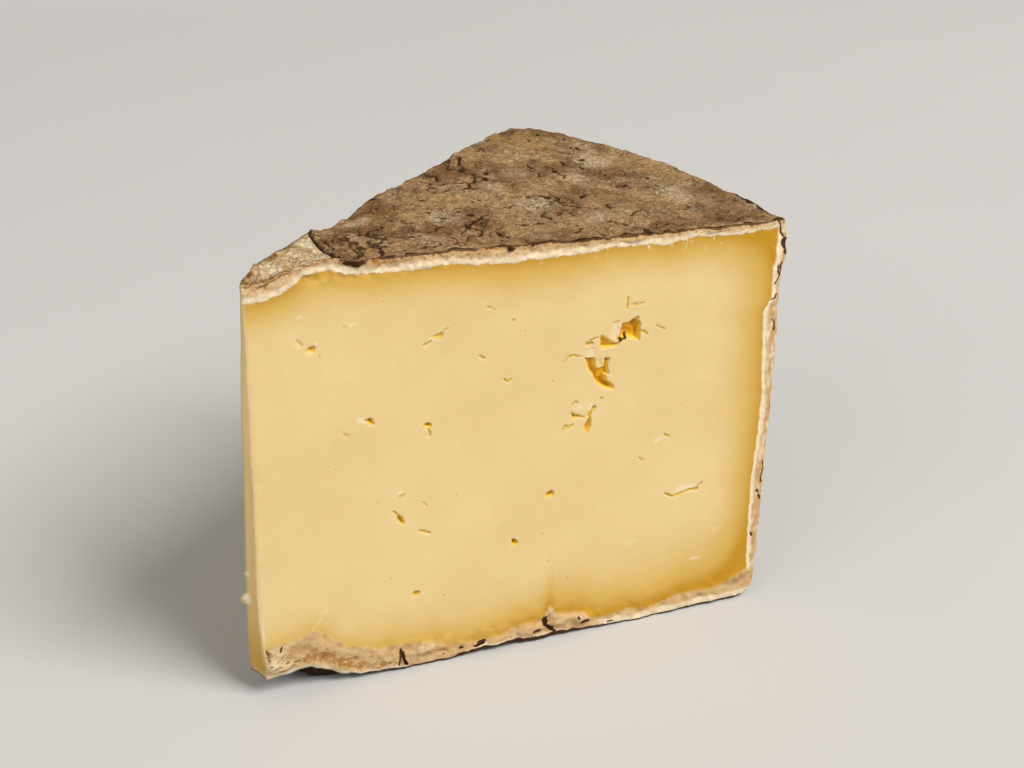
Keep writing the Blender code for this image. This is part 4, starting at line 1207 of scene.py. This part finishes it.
class Recipe:
    """Short ways to add the nodes of a material."""

    def __init__(self, name):
        """Start a material with its shader and its place in the object."""
        self.material = bpy.data.materials.new(name)
        self.material.use_nodes = True
        self.tree = self.material.node_tree
        self.shader = self.tree.nodes["Principled BSDF"]
        self.place = self.tree.nodes.new("ShaderNodeTexCoord").outputs["Object"]

    def node(self, kind, values, output=0, **settings):
        """Add a node, set or link its inputs, and return one output."""
        made = self.tree.nodes.new(kind)
        for name, value in settings.items():
            setattr(made, name, value)
        for key, value in values.items():
            if isinstance(value, bpy.types.NodeSocket):
                self.tree.links.new(value, made.inputs[key])
            else:
                made.inputs[key].default_value = value
        return made.outputs[output]

    def mark(self, name):
        """One of the marks kept on the points."""
        return self.node("ShaderNodeAttribute", {}, "Fac", attribute_name=name)

    def noise(self, size, detail=4.0, roughness=0.55, offset=0.0, stretch=None):
        """Noise from 0 to 1 with features of a size in millimetres, stretched along the axes if asked."""
        place = self.place
        if stretch:
            squeeze = tuple(1.0 / value for value in stretch)
            place = self.node("ShaderNodeVectorMath", {0: place, 1: squeeze}, operation="MULTIPLY")
        if offset:
            place = self.node("ShaderNodeVectorMath", {0: place, 1: (offset, offset, offset)})
        values = {"Vector": place, "Scale": MM_PER_METRE / size, "Detail": detail,
                  "Roughness": roughness}
        return self.node("ShaderNodeTexNoise", values, "Fac", noise_dimensions="3D")

    def math(self, operation, first, second=0.0):
        """A math node with one or two values."""
        return self.node("ShaderNodeMath", {0: first, 1: second}, operation=operation)

    def add(self, first, second):
        """Sum of two values."""
        return self.math("ADD", first, second)

    def times(self, first, second):
        """Product of two values."""
        return self.math("MULTIPLY", first, second)

    def between(self, value, low, high, out_low=0.0, out_high=1.0):
        """Smooth step of a value between two limits."""
        values = {"Value": value, "From Min": low, "From Max": high, "To Min": out_low,
                  "To Max": out_high}
        return self.node("ShaderNodeMapRange", values, "Result", interpolation_type="SMOOTHSTEP")

    def blend(self, share, first, second):
        """Colour between two colours."""
        made = self.tree.nodes.new("ShaderNodeMix")
        made.data_type = "RGBA"
        for index, value in ((0, share), (6, first), (7, second)):
            if isinstance(value, bpy.types.NodeSocket):
                self.tree.links.new(value, made.inputs[index])
            else:
                made.inputs[index].default_value = rgba(value) if index else value
        return made.outputs[2]

    def tint(self, colour, paint, share, strength):
        """Colour with some paint over it where the share is high."""
        return self.blend(self.times(share, strength), colour, paint)

    def patches(self, low, high, *pattern):
        """Patches of noise, from zero at the low limit to one at the high one."""
        return self.between(self.noise(*pattern), low, high)

    def swing(self, amount, *pattern):
        """Noise that swings about zero."""
        return self.times(self.add(self.noise(*pattern), -0.5), amount)

    def ragged(self, name, wave, low, high):
        """Smooth step of a mark between two limits, its border made ragged by a wave."""
        return self.between(self.add(self.mark(name), wave), low, high)

    def link(self, output, socket):
        """Give an output to the shader."""
        self.tree.links.new(output, self.shader.inputs[socket])

    def bump(self, height, distance_mm, strength=1.0):
        """Fine relief of the shading."""
        values = {"Height": height, "Distance": distance_mm * METRES_PER_MM, "Strength": strength}
        self.link(self.node("ShaderNodeBump", values), "Normal")


def rind_colour(recipe, rind):
    """Clouded colour of the natural rind, without its marks."""
    broad = recipe.patches(0.40, 0.58, 20.0, 4.0, 0.58)
    colour = recipe.blend(broad, rind.brown, rind.tan)
    grey = recipe.patches(0.49, 0.62, 10.0, 5.0, 0.6, 0.31)
    colour = recipe.tint(colour, rind.grey, grey, 0.65)
    rust = recipe.patches(0.52, 0.62, 7.0, 5.0, 0.6, 0.57)
    colour = recipe.tint(colour, rind.rust, rust, 0.4)
    fine = recipe.between(recipe.noise(3.0, 7.0, 0.72, 0.11), 0.36, 0.50, 1.0, 0.0)
    return recipe.tint(colour, rind.dark, fine, 0.5)


def creases(recipe, size, width, offset):
    """One along the thin creases of an even network, zero elsewhere."""
    wave = recipe.noise(size, 3.0, 0.6, offset)
    return recipe.between(recipe.math("ABSOLUTE", recipe.add(wave, -0.5)), width, 0.0)


def hair_cracks(recipe, size, width, offset):
    """One along thin wandering cracks that come and go, zero elsewhere."""
    wave = recipe.noise(size, 3.0, 0.55, offset)
    line = recipe.between(recipe.math("ABSOLUTE", recipe.add(wave, -0.5)), width, 0.25 * width)
    patch = recipe.patches(0.50, 0.60, 2.2 * size, 2.0, 0.5, offset + 0.37)
    return recipe.times(line, patch)


def rind_material(rind):
    """Natural rind: mottled tan and grey crust, dark in its cracks, pale at the thin end."""
    recipe = Recipe("natural_rind")
    colour = rind_colour(recipe, rind)
    patchy = recipe.noise(1.6, 5.0, 0.65, 0.83)
    ochre = recipe.times(recipe.mark("ochre"), recipe.between(patchy, 0.35, 0.6))
    colour = recipe.tint(colour, rind.ochre, ochre, 0.6)
    pale = recipe.times(recipe.mark("pale"), recipe.between(patchy, 0.25, 0.50, 0.45, 1.0))
    colour = recipe.tint(colour, rind.bloom_and_highlight, pale, 0.85)

    # Thin end, where the crust is gone
    cloud = recipe.noise(2.4, 5.0, 0.7, 0.91)
    tip_tone = recipe.blend(recipe.between(cloud, 0.40, 0.54), rind.tip_tan, rind.tip_white)
    edge_of_tip = recipe.times(recipe.mark("tip_edge"), recipe.between(patchy, 0.38, 0.52))
    freckle = recipe.patches(0.42, 0.32, 1.0, 5.0, 0.75, 0.47)
    brown = recipe.math("MAXIMUM", edge_of_tip, recipe.times(freckle, 0.7))
    tip_tone = recipe.tint(tip_tone, rind.tip_brown, brown, 0.85)
    colour = recipe.blend(recipe.mark("tip"), colour, tip_tone)

    # Cracks and dark places, with painted shade in the hollows of the relief and painted highlights on its
    # lumps
    jitter = recipe.swing(0.7, 0.8, 3.0, 0.6, 0.21)
    on_crust = recipe.between(recipe.mark("tip"), 1.0, 0.0)
    cracks = recipe.times(hair_cracks(recipe, 4.0, 0.018, 0.71), on_crust)
    colour = recipe.tint(colour, rind.crack, cracks, 0.7)
    crease = recipe.math("MAXIMUM", creases(recipe, 3.4, 0.035, 0.44), creases(recipe, 1.5, 0.05, 0.19))
    colour = recipe.tint(colour, rind.dark, crease, 0.35)
    # Painted highlights: small whitish glints flecked over the rind
    glint = recipe.patches(0.60, 0.72, 0.8, 4.0, 0.7, 0.05)
    colour = recipe.tint(colour, rind.bloom_and_highlight, glint, 0.3)
    # Painted highlights: the raised lumps of the relief are lightened
    high = recipe.ragged("crevice", jitter, -0.1, -0.5)
    colour = recipe.tint(colour, rind.bloom_and_highlight, high, 0.3)
    # Painted shade: the cracks, wrinkles and pits of the relief darken towards the crack colour, over the
    # crust's own dark cracks
    deep = recipe.ragged("crevice", jitter, 0.30, 0.8)
    colour = recipe.tint(colour, rind.crack, deep, 0.85)
    # Dark places, with the painted shade on the underside near the thin end and along the front edge (mark
    # "dark")
    dark = recipe.ragged("dark", jitter, 0.35, 0.8)
    colour = recipe.tint(colour, rind.crack, dark, 0.95)
    recipe.link(colour, "Base Color")
    recipe.link(recipe.between(patchy, 0.3, 0.7, 0.70, 0.90), "Roughness")
    rough = recipe.add(recipe.noise(2.6, 8.0, 0.66), recipe.times(crease, -0.22))
    recipe.bump(recipe.add(rough, recipe.times(cracks, -0.5)), 1.7, 0.8)
    recipe.shader.inputs["Specular IOR Level"].default_value = 0.06
    return recipe.material


def paste_material(paste, rind):
    """Cut face: waxy paste, amber towards the rind, with the pale layer, crust and openings."""
    recipe = Recipe("cut_paste")
    coarse_wave = recipe.swing(1.6, 2.6, 4.0, 0.6)
    fine_wave = recipe.swing(0.9, 0.7, 3.0, 0.6, 0.4)
    wobble = recipe.add(coarse_wave, fine_wave)
    slow = recipe.noise(19.0, 3.0, 0.5, 0.7)
    warmth = recipe.add(recipe.mark("warmth"), recipe.times(recipe.add(slow, -0.5), 0.35))

    # Paste, warmer towards the rind, with fine grain
    colour = recipe.blend(recipe.between(slow, 0.35, 0.65), paste.pale_paste, paste.paste)
    colour = recipe.blend(recipe.between(warmth, 0.05, 0.6), colour, paste.warm_paste)
    colour = recipe.blend(recipe.between(warmth, 0.45, 1.15), colour, paste.amber)
    speck = recipe.patches(0.38, 0.24, 0.55, 3.0, 0.6, 0.15)
    colour = recipe.tint(colour, paste.warm_paste, speck, 0.3)
    fleck = recipe.patches(0.62, 0.74, 1.0, 4.0, 0.7, 0.93)
    colour = recipe.tint(colour, paste.cream, fleck, 0.25)
    colour = recipe.tint(colour, paste.dried, recipe.mark("ochre"), 0.6)

    # White fibres dragged down from the pale layer
    strand = recipe.between(recipe.noise(1.3, 4.0, 0.65, 0.33, (1.0, 1.0, 1.8)), 0.60, 0.66)
    colour = recipe.blend(recipe.times(strand, recipe.mark("fibres")), colour, paste.cream)

    # Strip of rind beside the rim
    skin = rind_colour(recipe, rind)
    strip = recipe.ragged("strip", recipe.times(wobble, 0.5), -0.2, 0.2)
    outer = recipe.ragged("strip", coarse_wave, 0.3, 1.2)
    streaked = recipe.between(recipe.noise(1.2, 4.0, 0.6, 0.66, (1.0, 1.0, 4.0)), 0.36, 0.56, 0.35, 1.0)
    strip_tone = recipe.blend(recipe.times(outer, streaked), paste.cream, paste.pink_layer)
    colour = recipe.blend(strip, colour, strip_tone)

    # Pale layer under the upper crust
    into_layer = recipe.add(recipe.mark("pale_layer"), wobble)
    layer = recipe.between(into_layer, -0.25, 0.25)
    deeper = recipe.between(into_layer, 0.9, 2.0)
    mottled = recipe.patches(0.42, 0.58, 1.2, 4.0, 0.65, 0.37)
    layer_tone = recipe.blend(recipe.times(mottled, 0.3), paste.cream, paste.layer_tan)
    layer_tone = recipe.tint(layer_tone, paste.layer_tan, deeper, 0.8)
    speckled = recipe.patches(0.54, 0.62, 0.9, 4.0, 0.7, 0.52)
    layer_tone = recipe.tint(layer_tone, paste.stain, recipe.times(speckled, deeper), 0.7)
    under_crust = recipe.ragged("crust", coarse_wave, -1.5, -0.6)
    layer_tone = recipe.tint(layer_tone, paste.layer_tan, under_crust, 0.6)
    grains = recipe.patches(0.53, 0.60, 0.9, 5.0, 0.75, 0.17)
    layer_tone = recipe.tint(layer_tone, paste.stain, recipe.times(grains, under_crust), 0.8)
    dark_grains = recipe.patches(0.58, 0.63, 0.8, 5.0, 0.75, 0.59)
    layer_tone = recipe.tint(layer_tone, paste.dark_spot_and_shade, recipe.times(dark_grains, under_crust), 0.7)
    colour = recipe.blend(layer, colour, layer_tone)

    # Rind at the foot, flaky and stained
    foot = recipe.ragged("foot", recipe.times(wobble, 1.3), -0.8, 0.6)
    deep_foot = recipe.ragged("foot", coarse_wave, 1.5, 5.0)
    mixed = recipe.patches(0.42, 0.60, 2.0, 5.0, 0.65, 0.45)
    foot_tone = recipe.blend(mixed, paste.foot_tan, paste.foot_pink)
    foot_tone = recipe.blend(recipe.times(deep_foot, 0.12), foot_tone, skin)
    foot_crevice = recipe.ragged("crevice", fine_wave, 0.35, 1.1)
    foot_tone = recipe.tint(foot_tone, paste.stain, foot_crevice, 0.3)
    foot_tone = recipe.tint(foot_tone, paste.layer_tan, grains, 0.35)
    in_foot = recipe.between(recipe.mark("foot"), 1.0, 2.5)
    foot_tone = recipe.tint(foot_tone, paste.dark_spot_and_shade, recipe.times(dark_grains, in_foot), 0.5)
    colour = recipe.blend(foot, colour, foot_tone)

    # Cut edge of the crust
    into_crust = recipe.add(recipe.mark("crust"), recipe.times(wobble, 0.45))
    crust = recipe.between(into_crust, -0.12, 0.12)
    crust_tone = recipe.blend(0.8, skin, paste.crust_line)
    colour = recipe.blend(crust, colour, crust_tone)

    # Rind of the thin end, hanging over the edge with a brown border
    into_tip = recipe.add(recipe.mark("tip_rind"), recipe.times(wobble, 0.7))
    tip_clouds = recipe.patches(0.42, 0.58, 2.4, 5.0, 0.7, 0.91)
    tip_tone = recipe.blend(tip_clouds, rind.tip_tan, rind.tip_white)
    colour = recipe.blend(recipe.between(into_tip, -0.1, 0.1), colour, tip_tone)
    outline = recipe.between(recipe.math("ABSOLUTE", into_tip), 0.42, 0.12)
    broken = recipe.between(recipe.noise(2.2, 3.0, 0.6, 0.48), 0.40, 0.56, 0.2, 0.9)
    colour = recipe.blend(recipe.times(outline, broken), colour, rind.tip_brown)

    # Stains, smears and spots
    jitter = recipe.swing(1.6, 0.9, 5.0, 0.75, 0.21)
    pale = recipe.ragged("pale", recipe.times(jitter, 0.5), 0.15, 0.85)
    colour = recipe.tint(colour, paste.cream, pale, 0.8)
    stain = recipe.ragged("stain", jitter, 0.35, 0.85)
    stain_clouds = recipe.patches(0.48, 0.56, 1.1, 5.0, 0.7, 0.63)
    stain_tone = recipe.blend(stain_clouds, paste.stain, paste.layer_tan)
    speck_in_stain = recipe.patches(0.57, 0.64, 0.8, 4.0, 0.7, 0.27)
    stain_tone = recipe.tint(stain_tone, paste.dark_spot_and_shade, speck_in_stain, 0.8)
    colour = recipe.blend(recipe.times(stain, 0.8), colour, stain_tone)
    lip = recipe.ragged("lip", recipe.times(jitter, 0.5), 0.3, 0.7)
    colour = recipe.tint(colour, paste.lip, lip, 0.8)

    # Openings: torn pale edges, amber inside, with painted glow of light scattered through the paste
    rind_part = recipe.math("MAXIMUM", foot, strip)
    in_paste = recipe.between(rind_part, 1.0, 0.0)
    ring = recipe.times(recipe.between(recipe.mark("opening"), -0.45, -0.05), in_paste)
    colour = recipe.tint(colour, paste.cream, ring, 0.22)
    inside = recipe.between(recipe.mark("opening"), -0.14, 0.04)
    gap_clouds = recipe.patches(0.25, 0.55, 0.8, 3.0, 0.6, 0.73)
    gap_tone = recipe.blend(gap_clouds, paste.stain, paste.dark_spot_and_shade)
    colour = recipe.blend(recipe.times(inside, rind_part), colour, gap_tone)
    inside = recipe.times(inside, in_paste)
    colour = recipe.tint(colour, paste.tick, inside, 0.8)
    # Painted glow: the sides of the openings take a saturated amber, turning deeper orange towards the
    # bottom, for light scattered through the paste over the openings' own amber
    hollow = recipe.times(recipe.between(recipe.mark("depth"), 0.12, 0.45), in_paste)
    colour = recipe.blend(hollow, colour, paste.hollow)
    deepest = recipe.times(recipe.between(recipe.mark("depth"), 0.7, 1.5), in_paste)
    colour = recipe.tint(colour, paste.deep_hollow, deepest, 0.85)
    # Dark spots, with the painted shadow of the knot and the painted contact shadow along the bottom of the
    # front cut (mark "dark")
    dark = recipe.ragged("dark", recipe.times(jitter, 0.5), 0.3, 0.7)
    colour = recipe.tint(colour, paste.dark_spot_and_shade, dark, 0.97)
    recipe.link(colour, "Base Color")

    rough_rind = recipe.math("MAXIMUM", recipe.math("MAXIMUM", foot, layer), crust)
    recipe.link(recipe.between(rough_rind, 0.0, 1.0, paste.paste_roughness, 0.85), "Roughness")
    fine = recipe.add(recipe.times(recipe.noise(0.5, 4.0, 0.6), 0.25),
                      recipe.times(recipe.noise(2.4, 3.0, 0.5, 0.29), 0.35))
    coarse = recipe.times(recipe.noise(0.9, 5.0, 0.7, 0.77), recipe.times(rough_rind, 1.6))
    recipe.bump(recipe.add(fine, coarse), 0.22, 0.6)
    shader = recipe.shader
    shader.inputs["Subsurface Weight"].default_value = 0.12
    shader.inputs["Subsurface Radius"].default_value = (1.0, 0.55, 0.2)
    shader.inputs["Subsurface Scale"].default_value = 0.003
    shader.inputs["Specular IOR Level"].default_value = 0.14
    return recipe.material


def rgba(colour):
    """Colour setting with its opacity."""
    return (*colour, 1.0)


def colour_setting(name, description, red, green, blue):
    """Colour property whose default is given as a screen shows it."""
    return bpy.props.FloatVectorProperty(name=name, description=description, subtype="COLOR",
                                         default=tone(red, green, blue)[:3], min=0.0, max=1.0)


# Settings

class WedgeSettings(bpy.types.PropertyGroup):
    """Sizes of the wedge."""

    wheel_radius: bpy.props.FloatProperty(
        name="Wheel radius", description="Radius of the wheel that the wedge was cut from",
        default=0.1206, subtype="DISTANCE", unit="LENGTH")
    wedge_angle: bpy.props.FloatProperty(
        name="Wedge angle", description="Angle between the two cuts",
        default=math.radians(43.3), subtype="ANGLE")
    height_at_middle: bpy.props.FloatProperty(
        name="Height", description="Height of the wheel at its middle",
        default=0.1023, subtype="DISTANCE", unit="LENGTH")
    thin_end_width: bpy.props.FloatProperty(
        name="Thin end", description="Width of the narrow flat at the thin end",
        default=0.0009, subtype="DISTANCE", unit="LENGTH")
    back_cut_lean: bpy.props.FloatProperty(
        name="Back lean", description="How much the back cut leans out towards the base",
        default=math.atan(0.043), subtype="ANGLE")
    crust_step: bpy.props.FloatProperty(
        name="Crust step", description="Height of the broken crust edge across the top",
        default=0.0003, subtype="DISTANCE", unit="LENGTH")
    rind_roughness: bpy.props.FloatProperty(
        name="Rind roughness", description="Depth of the rind's cracks and pits, one being as made",
        default=1.0, min=0.0, max=2.0, subtype="FACTOR")


class PasteSettings(bpy.types.PropertyGroup):
    """Colours and finish of the cut faces."""

    paste: colour_setting("Paste", "Middle of the cut face", 220, 193, 137)
    pale_paste: colour_setting("Pale paste", "Lighter clouds of the cut face", 224, 198, 143)
    warm_paste: colour_setting("Warm paste", "Paste within a finger of the rind", 208, 172, 91)
    amber: colour_setting("Amber", "Paste right beside the rind", 187, 138, 31)
    cream: colour_setting("Cream", "Pale layer, crumbs and torn edges", 231, 214, 182)
    layer_tan: colour_setting("Layer tan", "Outer part of the pale layer", 195, 160, 113)
    pink_layer: colour_setting("Pink layer", "Outer part of the strip beside the rim", 190, 152, 102)
    foot_tan: colour_setting("Foot tan", "Yellowish rind at the foot", 196, 164, 113)
    foot_pink: colour_setting("Foot pink", "Pinkish rind at the foot", 202, 170, 127)
    crust_line: colour_setting("Crust line", "Cut edge of the upper crust", 74, 42, 20)
    stain: colour_setting("Stain", "Orange-brown stains", 158, 104, 38)
    # Dark spots in the rind, also the colour of the painted shadows on the front cut
    dark_spot_and_shade: colour_setting("Dark spot", "Dark spots in the rind", 54, 29, 11)
    dried: colour_setting("Dried paste", "Dried paste of the thin end", 224, 192, 132)
    tick: colour_setting("Tick", "Shallow cracks and ticks", 204, 166, 82)
    hollow: colour_setting("Hollow", "Sides of the openings", 232, 194, 72)
    deep_hollow: colour_setting("Deep hollow", "Bottom of the deep openings", 222, 160, 36)
    lip: colour_setting("Lip", "Greyish lip of the rind along the base", 206, 194, 172)
    paste_roughness: bpy.props.FloatProperty(
        name="Roughness", description="Roughness of the cut paste",
        default=0.5, min=0.0, max=1.0, subtype="FACTOR")


class RindSettings(bpy.types.PropertyGroup):
    """Colours of the rind."""

    brown: colour_setting("Brown", "Main brown of the rind", 134, 101, 64)
    tan: colour_setting("Tan", "Lighter brown of the rind", 182, 146, 102)
    grey: colour_setting("Grey", "Grey patches", 186, 158, 117)
    rust: colour_setting("Rust", "Reddish patches", 147, 103, 62)
    ochre: colour_setting("Ochre", "Yellowish patches", 186, 141, 72)
    # Whitish dry bloom, also the colour of the rind's painted highlights on its lumps and glints
    bloom_and_highlight: colour_setting("Bloom", "Whitish dry bloom", 208, 183, 146)
    dark: colour_setting("Dark", "Fine dark mottling", 74, 50, 28)
    # Also the colour of the painted shade in the relief's hollows and on the underside
    crack: colour_setting("Crack", "Bottom of cracks and pits", 48, 27, 12)
    tip_tan: colour_setting("Tip tan", "Rind of the thin end, where the crust is gone", 187, 150, 96)
    tip_white: colour_setting("Tip white", "Whitish places of the thin end", 222, 200, 164)
    tip_brown: colour_setting("Tip brown", "Ochre-brown outlines at the thin end", 138, 94, 46)


class StageSettings(bpy.types.PropertyGroup):
    """Floor, lights and camera."""

    floor_colour: colour_setting("Floor", "Colour of the plain floor", 195, 193, 190)
    key_power: bpy.props.FloatProperty(
        name="Key light", description="Power of the large soft light",
        default=119.0, min=0.0, subtype="POWER", unit="POWER")
    fill_power: bpy.props.FloatProperty(
        name="Fill light", description="Power of the weak light on the other side",
        default=20.0, min=0.0, subtype="POWER", unit="POWER")
    sky_strength: bpy.props.FloatProperty(
        name="Sky", description="Strength of the even light from all round",
        default=0.29, min=0.0)
    focal_length: bpy.props.FloatProperty(
        name="Focal length", description="Focal length of the camera in millimetres",
        default=56.19, min=1.0)


# Operators

def thin_end_place():
    """Foot of the thin end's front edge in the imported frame, in millimetres."""
    low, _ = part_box(NODE)
    return np.array([low.x * MM_PER_METRE + THIN_END_FROM_BOX_LOW[0],
                     low.y * MM_PER_METRE + THIN_END_FROM_BOX_LOW[1], low.z * MM_PER_METRE])


class CHEESE_OT_wedge(bpy.types.Operator):
    """Build the wedge with its cut faces and rind"""

    bl_idname = "cheese.wedge"
    bl_label = "Cheese wedge"

    def execute(self, context):
        """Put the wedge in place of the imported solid."""
        settings = context.scene.cheese_wedge
        form = WedgeForm(settings)
        shell = wedge_shell(form)
        points, marks = finished_points(shell, form, settings)
        mesh = bpy.data.meshes.new("wedge")
        placed = (points + thin_end_place()) * METRES_PER_MM
        mesh.from_pydata(placed.tolist(), [], shell.faces)
        for name in MARKS:
            attribute = mesh.attributes.new(name, "FLOAT", "POINT")
            attribute.data.foreach_set("value", marks[name].astype(np.float32))
        mesh.materials.append(paste_material(context.scene.cheese_paste, context.scene.cheese_rind))
        mesh.materials.append(rind_material(context.scene.cheese_rind))
        is_rind = [side in ("top", "rim", "base") for side in shell.face_sides]
        mesh.polygons.foreach_set("material_index", np.array(is_rind, np.int32))
        mesh.shade_smooth()
        if mesh.validate():
            raise RuntimeError("the wedge's mesh had faces that had to be mended")
        wedge = bpy.data.objects.new("wedge", mesh)
        context.scene.collection.objects.link(wedge)
        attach(wedge, BODY)
        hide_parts(NODE)
        return {"FINISHED"}


def camera_turn():
    """Rotation of the camera from its yaw, its pitch and its roll."""
    forward = Vector((math.sin(CAMERA_YAW) * math.cos(CAMERA_PITCH_DOWN),
                      math.cos(CAMERA_YAW) * math.cos(CAMERA_PITCH_DOWN),
                      -math.sin(CAMERA_PITCH_DOWN)))
    level = Vector((math.cos(CAMERA_YAW), -math.sin(CAMERA_YAW), 0.0))
    upward = level.cross(forward)
    right = level * math.cos(CAMERA_ROLL) + upward * math.sin(CAMERA_ROLL)
    up = upward * math.cos(CAMERA_ROLL) - level * math.sin(CAMERA_ROLL)
    return Matrix((right, up, -forward)).transposed()


def floor_mesh(half_width, depth_back, sweep_radius):
    """Floor that curves up into a backdrop."""
    profile = [(-half_width, 0.0)]
    for step in range(FLOOR_SWEEP_STEPS + 1):
        turn = math.pi / 2 * step / FLOOR_SWEEP_STEPS
        profile.append((depth_back - sweep_radius + sweep_radius * math.sin(turn),
                        sweep_radius - sweep_radius * math.cos(turn)))
    profile.append((depth_back, half_width))
    mesh = bpy.data.meshes.new("floor")
    points = [(x, y, z) for y, z in profile for x in (-half_width, half_width)]
    faces = [(2 * i, 2 * i + 1, 2 * i + 3, 2 * i + 2) for i in range(len(profile) - 1)]
    mesh.from_pydata(points, [], faces)
    mesh.shade_smooth()
    return mesh


def floor_material(settings):
    """Plain floor with hardly visible clouds."""
    recipe = Recipe("plain_floor")
    cloud = recipe.noise(220.0, 2.0, 0.5)
    colour = tuple(settings.floor_colour)
    darker = tuple(0.96 * value for value in colour)
    recipe.link(recipe.blend(cloud, darker, colour), "Base Color")
    recipe.shader.inputs["Roughness"].default_value = 0.9
    recipe.shader.inputs["Specular IOR Level"].default_value = 0.1
    return recipe.material


def area_light(name, place, size, power, colour):
    """Square soft light that faces the middle of the wedge."""
    light = bpy.data.lights.new(name, "AREA")
    light.shape = "SQUARE"
    light.size = size
    light.energy = power
    light.color = colour
    lamp = bpy.data.objects.new(name, light)
    lamp.location = place
    towards = Vector(MIDDLE_OF_WEDGE) - Vector(place)
    lamp.rotation_euler = towards.to_track_quat("-Z", "Y").to_euler()
    bpy.context.scene.collection.objects.link(lamp)


class CHEESE_OT_stage(bpy.types.Operator):
    """Add the plain floor, the soft lights and the camera"""

    bl_idname = "cheese.stage"
    bl_label = "Photo stage"

    def execute(self, context):
        """Set up everything round the wedge."""
        scene = context.scene
        settings = scene.cheese_stage
        scene.view_settings.view_transform = "Standard"
        mesh = floor_mesh(FLOOR_HALF_WIDTH, FLOOR_DEPTH_BACK, FLOOR_SWEEP_RADIUS)
        floor = bpy.data.objects.new("floor", mesh)
        floor.data.materials.append(floor_material(settings))
        scene.collection.objects.link(floor)

        area_light("key_light", KEY_PLACE, KEY_SIZE, settings.key_power, KEY_COLOUR)
        area_light("fill_light", FILL_PLACE, FILL_SIZE, settings.fill_power, FILL_COLOUR)
        world = bpy.data.worlds.new("studio")
        world.use_nodes = True
        background = world.node_tree.nodes["Background"]
        background.inputs["Color"].default_value = tone(*SKY_TONE)
        background.inputs["Strength"].default_value = settings.sky_strength
        scene.world = world

        camera = bpy.data.objects.new("camera", bpy.data.cameras.new("camera"))
        camera.data.lens = settings.focal_length
        camera.data.sensor_width = SENSOR_WIDTH_MM
        camera.data.clip_start = CLIP_START
        place = Vector(thin_end_place() + np.array(CAMERA_PLACE)) * METRES_PER_MM
        camera.matrix_world = Matrix.Translation(place) @ camera_turn().to_4x4()
        scene.collection.objects.link(camera)
        scene.camera = camera
        return {"FINISHED"}


class CHEESE_PT_panel(bpy.types.Panel):
    """Lists the pieces of the cheese and their settings"""

    bl_idname = "CHEESE_PT_panel"
    bl_label = "Cheese wedge"
    bl_space_type = "VIEW_3D"
    bl_region_type = "UI"
    bl_category = "Cheese"

    def draw(self, context):
        """Show each operator with its group of settings."""
        for operator, group in ((CHEESE_OT_wedge, "cheese_wedge"), (None, "cheese_paste"),
                                (None, "cheese_rind"), (CHEESE_OT_stage, "cheese_stage")):
            box = self.layout.box()
            if operator:
                box.operator(operator.bl_idname)
            settings = getattr(context.scene, group)
            for name in settings.__annotations__:
                box.prop(settings, name)


GROUPS = {
    "cheese_wedge": WedgeSettings,
    "cheese_paste": PasteSettings,
    "cheese_rind": RindSettings,
    "cheese_stage": StageSettings,
}
OPERATORS = (CHEESE_OT_wedge, CHEESE_OT_stage)


def register():
    """Add the settings, the operators and the panel."""
    for name, group in GROUPS.items():
        bpy.utils.register_class(group)
        setattr(bpy.types.Scene, name, bpy.props.PointerProperty(type=group))
    for operator in OPERATORS:
        bpy.utils.register_class(operator)
    bpy.utils.register_class(CHEESE_PT_panel)


def unregister():
    """Take them away again."""
    bpy.utils.unregister_class(CHEESE_PT_panel)
    for operator in reversed(OPERATORS):
        bpy.utils.unregister_class(operator)
    for name, group in reversed(GROUPS.items()):
        delattr(bpy.types.Scene, name)
        bpy.utils.unregister_class(group)


def main():
    """Build the wedge and its stage, and keep the sizes."""
    register()
    bpy.ops.cheese.wedge()
    bpy.ops.cheese.stage()


if __name__ == "__main__":
    main()
